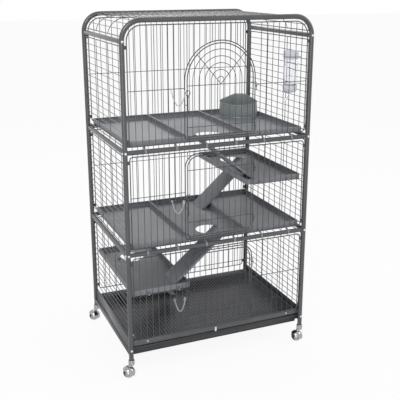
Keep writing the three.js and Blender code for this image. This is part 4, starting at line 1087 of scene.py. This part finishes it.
def bottle_part(profile):
    """A round piece turned about the bottle's upright axis from half its outline."""
    work = bmesh.new()
    point_row(work, [(radius, 0, height) for radius, height in profile])
    bmesh.ops.spin(work, geom=[*work.verts, *work.edges], cent=(0, 0, 0), axis=(0, 0, 1), angle=2 * math.pi,
                   steps=32, use_merge=True)
    bmesh.ops.remove_doubles(work, verts=work.verts, dist=0.01)
    bmesh.ops.recalc_face_normals(work, faces=work.faces)
    return work


def hang_bottle_part(work, name, material, replaced=()):
    bmesh.ops.translate(work, vec=bottle_place, verts=work.verts)
    finish_piece(work, name, "root", material, replaced)


work = bottle_part([(0, 1), (25, 1), (30, 3), (32.4, 8), (32.4, 40), (31.6, 42), (31.6, 44), (32.4, 46),
                    (32.4, 84), (31.6, 86), (31.6, 88), (32.4, 90), (32.4, 106), (31, 113), (28, 119),
                    (27, 124), (26, 126),
                    (25, 122), (26, 118), (29, 112), (30.6, 105), (30.6, 8), (28, 4.6), (24, 3), (0, 3)])
hang_bottle_part(work, "bottle_shell", clear_plastic, ["water_bottle"])
work = bottle_part([(28, 121), (33.6, 121), (34.6, 123), (34.6, 155), (33, 158.5), (28, 160.5), (0, 162.5)])
for angle in sweep(0, 360, cap_ribs)[:-1]:
    spot = (34.5 * math.cos(angle), 34.5 * math.sin(angle))
    straight_rod(work, (*spot, 124), (*spot, 153), 0.9, 5)
hang_bottle_part(work, "bottle_cap", white_plastic)
work = bottle_part([(0, -36), (12, -36), (26, -33), (32, -27), (34.4, -18), (34.6, -3), (33.6, -0.6),
                    (0, -0.4)])
hang_bottle_part(work, "bottle_cup", white_plastic)
spout_tilt = math.radians(28)
spout_way = Vector((-math.sin(spout_tilt), 0, -math.cos(spout_tilt)))
work = bmesh.new()
for radius, stops in ((4.6, (0, 20, 53)), (3.9, (52, 54, 56))):
    bent_rod(work, [bottle_place + Vector((0, 0, -30)) + spout_way * stop for stop in stops], radius, 16)
bmesh.ops.create_uvsphere(work, u_segments=14, v_segments=10, radius=3.4,
                          matrix=Matrix.Translation(bottle_place + Vector((0, 0, -30)) + spout_way * 55.6))
finish_piece(work, "spout_tube", "root", steel, ["bottle_spout"])
work = bmesh.new()
loop_x, loop_y, loop_z = bottle_place + Vector((0, 0, 133))
loop = [(loop_x + 35.6 * math.cos(a), loop_y + 35.6 * math.sin(a), loop_z) for a in sweep(40, 320, 24)]
hook_x = half_width - 3.2
ends = [[(hook_x - 5, y, loop_z), (hook_x, y, loop_z + 3), (hook_x + 0.4, y, loop_z - 9)]
        for y in (loop[0][1], loop[-1][1])]
bent_rod(work, [*ends[0][::-1], *loop, *ends[1]], 1.4, 8)
finish_piece(work, "bottle_bracket", "root", wire_paint)


# ---- Base skirts ----
# A deep sheet skirt with a rolled lower lip joins the legs on each side. Two ledges on its inner
# face carry the tray and the grate.
def fold_sheet(work, profile, half_length):
    """A sheet folded along a row of points (y, z), which reaches as far left as right."""
    edges = point_row(work, [(-half_length, y, z) for y, z in profile])
    rise_from(work, edges, (2 * half_length, 0, 0))


post_inset = tube_radius + 0.6
skirt_half = half_depth - post_inset
skirt_low = rail_heights[0] - 30
skirt_top = rail_heights[0] + 47.3
lip = [(skirt_low + 10.6 - 9.8 * math.cos(a), 0.7 + 9.6 * math.sin(a)) for a in sweep(180, 0, 10)]
for side_name, wall in (("left", left_wall), ("right", right_wall)):
    work = bmesh.new()
    fold_sheet(work, [(skirt_low + 24, 1.2), *lip, (skirt_low + 2.4, 0), (skirt_low + 30, 0),
                      (skirt_top - 0.5, 0), (skirt_top, -1.0), (skirt_top, -4)], skirt_half)
    for height in (rail_heights[0] + 9, rail_heights[0] + 18):
        fold_sheet(work,
                   [(height - 6, -0.8), (height - 1.4, -1.0), (height - 0.75, -1.6), (height - 0.75, -14.2)],
                   skirt_half)
    place_on(work, wall)
    bmesh.ops.recalc_face_normals(work, faces=work.faces)
    piece = finish_piece(work, f"side_skirt_{side_name}", "root", tube_paint,
                         [f"base_skirt_{side_name}"])
    give_thickness(piece, 0.0012, 0.0003)


# ---- Tray ----
# The litter that falls through the grate lands in a shallow black tray. It slides on its side
# flanges, and its front is folded over into a tall lip.
tray_paint = coat_material("tray paint", (0.006, 0.0065, 0.0075), (0.022, 0.023, 0.026), 0.36, 500, 1500,
                           0.35, 0.0, 0.15)
tray_side = half_width - 16
fold_front = 16 - half_depth
drawer_rear = half_depth - 40
flange_edge = half_width - post_inset
tray_top = rail_heights[0] + 10.8
tray_deep = 45
work = fold_pan(-tray_side, tray_side, fold_front, drawer_rear, tray_top - tray_deep, 44.4)
for side in (-1, 1):
    middle = (side * (flange_edge + tray_side - 1.4) / 2, (fold_front + drawer_rear) / 2, tray_top - 0.75)
    flat_sheet(work, middle, flange_edge - tray_side + 0.6, drawer_rear - fold_front)
fold = [(16, 0.75), (1.5, 0.75), (0.3, 1.4), (0, 2.6), (0, 22), (1.4, 23.3), (5, 23.3)]
fold_sheet(work, [(back - half_depth, tray_top - drop) for back, drop in fold], flange_edge)
give_thickness(finish_piece(work, "pull_tray", "base_tray", tray_paint, ["base_tray"]))


# ---- Floor grate ----
# A sliding grate of close wires in an edge wire stands over the tray. Its front is a sheet strip with
# rivets, and a small turning tab on the strip locks the tray.
grate_paint = coat_material("grate paint", (0.08, 0.083, 0.096), (0.17, 0.176, 0.2), 0.32, 1200, 3000,
                            0.2, 0.3, 0.3)
grate_side = flange_edge - 2.5
grate_spaces = 58
grate_offset = 1.4
grate_wire = 1.5
work = bmesh.new()
outline = loop_stops(-grate_side, grate_side, fold_front, drawer_rear, 6, 6, grate_middle)
bent_rod(work, outline, 2.2, 10, True)
for i in range(1, grate_spaces):
    x = grate_side * (2 * i / grate_spaces - 1)
    height = grate_middle + grate_offset
    straight_rod(work, (x, fold_front, height), (x, drawer_rear, height), grate_wire)
for share in (1 / 3, 2 / 3):
    y = fold_front + (drawer_rear - fold_front) * share
    height = grate_middle - grate_offset
    straight_rod(work, (-grate_side, y, height), (grate_side, y, height), grate_wire)
finish_piece(work, "grate_wires", "floor_grate", grate_paint, ["floor_grate"])
strip_low = rail_heights[0] + 16.4
strip_high = strip_low + 23.4
half_strip = [(3.2, 2.6), (1.6, 0), (0.2, 1.4), (0, 4)]
work = bmesh.new()
fold_sheet(work, [(fold_front, grate_middle), (3 - half_depth, grate_middle)], flange_edge)
fold_sheet(work, [(back - half_depth, strip_low + rise) for back, rise in half_strip] +
           [(back - half_depth, strip_high - rise) for back, rise in reversed(half_strip)], flange_edge)
bmesh.ops.recalc_face_normals(work, faces=work.faces)
give_thickness(finish_piece(work, "grate_strip", "floor_grate", tube_paint), 0.0011, 0.0003)
tab_pivot = Vector((-22, -half_depth - 0.75, rail_heights[0] + 30))
rivet_x = 365
work = bmesh.new()
straight_rod(work, tab_pivot, tab_pivot + Vector((0, -3.4, 0)), 2.3, 14)
round_head(work, tab_pivot + Vector((0, -3.0, 0)), (0, -1, 0), 4.2, 1.4)
for x in (-rivet_x, rivet_x):
    straight_rod(work, (x, -half_depth - 0.4, tab_pivot.z), (x, -half_depth - 1.2, tab_pivot.z), 3.6, 14)
    round_head(work, (x, -half_depth - 1.1, tab_pivot.z), (0, -1, 0), 2.8, 1.6)
finish_piece(work, "strip_rivets", "floor_grate", zinc)
work = bmesh.new()
tab_loop = loop_stops(-4.8, 4.8, -18.8, 4.8, 3, 4.6)
face = work.faces.new([work.verts.new(stop) for stop in tab_loop])
thick = bmesh.ops.extrude_face_region(work, geom=[face])["geom"]
bmesh.ops.translate(work, vec=(0, 0, 1.8), verts=verts_of(thick))
bmesh.ops.recalc_face_normals(work, faces=work.faces)
place_on(work, Matrix.Translation(tab_pivot + Vector((0, -0.4, 0))) @ Matrix.Rotation(math.pi / 2, 4, "X"))
finish_piece(work, "turning_tab", "turn_tab", zinc, ["turn_tab"])


# ---- Ball casters ----
# Each leg ends in a bright plated caster: a collar that swivels on the leg, a neck and a domed hood.
# The wheel is a dark ball between two plated cheeks, on an axle through the hood.
tread = plastic_material("dark tread", (0.012, 0.012, 0.013), (0.03, 0.03, 0.032), 0.42, 60)
ball_radius = 25.0
trail = 16.0
hood_radius = 31.0
hood_tilt = math.radians(32)
hood_way = Vector((-math.sin(hood_tilt), 0, -math.cos(hood_tilt)))
collar_top = leg_end - 0.4
collar_rings = [(24, 0, 14.6, 2.0, 3), (15, 10, 15.4, 1.2, 2)]
cheek_start = 13.5
corners = {"front_left": (-1, -1), "front_right": (1, -1), "rear_left": (-1, 1), "rear_right": (1, 1)}

for caster_name, (side_x, side_y) in corners.items():
    swivel, wheel = f"caster_swivel_{caster_name}", f"caster_ball_{caster_name}"
    leg = Vector((side_x * half_width, side_y * half_depth, 0))
    ball_middle = leg + Vector((-trail, 0, ball_radius))
    turn = Matrix.Translation(ball_middle) @ Matrix.Rotation(math.pi / 2, 4, "X")
    work = bmesh.new()
    bmesh.ops.create_uvsphere(work, u_segments=40, v_segments=20, radius=hood_radius, matrix=turn)
    bmesh.ops.bisect_plane(work, geom=[*work.verts, *work.edges, *work.faces],
                           plane_co=ball_middle - hood_way * 2,
                           plane_no=hood_way, clear_outer=True)
    piece = finish_piece(work, f"caster_hood_{caster_name}", swivel, chrome, [], 60)
    give_thickness(piece, 0.0020, 0.0006)
    work = bmesh.new()
    for foot, head, radius, rounding, segments in collar_rings:
        ring = straight_rod(work, leg + Vector((0, 0, collar_top - foot)),
                            leg + Vector((0, 0, collar_top - head)),
                            radius, 28)
        sharp_edges = [edge for edge in edges_at(ring) if edge.calc_face_angle() > math.radians(60)]
        round_off(work, sharp_edges, rounding, segments)
    neck_foot = ball_middle + Vector((6, 0, 28))
    bent_rod(work, [neck_foot - Vector((4, 0, 4)), neck_foot + Vector((2, 0, 3)),
                    leg + Vector((-1, 0, collar_top - 16))], 8.6, 18)
    for side in (-1, 1):
        straight_rod(work, ball_middle + Vector((0, side * 25.9, 0)),
                     ball_middle + Vector((0, side * 32.2, 0)),
                     4.8, 18)
        round_head(work, ball_middle + Vector((0, side * 32.0, 0)), (0, side, 0), 3.4, 1.2)
    finish_piece(work, f"caster_neck_{caster_name}", swivel, chrome,
                 [f"caster_horn_{caster_name}"], 50)
    work = bmesh.new()
    bmesh.ops.create_uvsphere(work, u_segments=40, v_segments=24, radius=ball_radius, matrix=turn)
    finish_piece(work, f"caster_wheel_{caster_name}", wheel, tread, [wheel], 60)
    work = bmesh.new()
    for side in (-1, 1):
        cheek = bmesh.ops.create_uvsphere(work, u_segments=32, v_segments=24, radius=ball_radius + 0.35,
                                          matrix=turn)
        away = [vert for vert in cheek["verts"] if (vert.co.y - ball_middle.y) * side < cheek_start]
        bmesh.ops.delete(work, geom=away, context="VERTS")
    piece = finish_piece(work, f"caster_cheeks_{caster_name}", wheel, chrome, [], 60)
    give_thickness(piece, 0.0005, 0.0001)
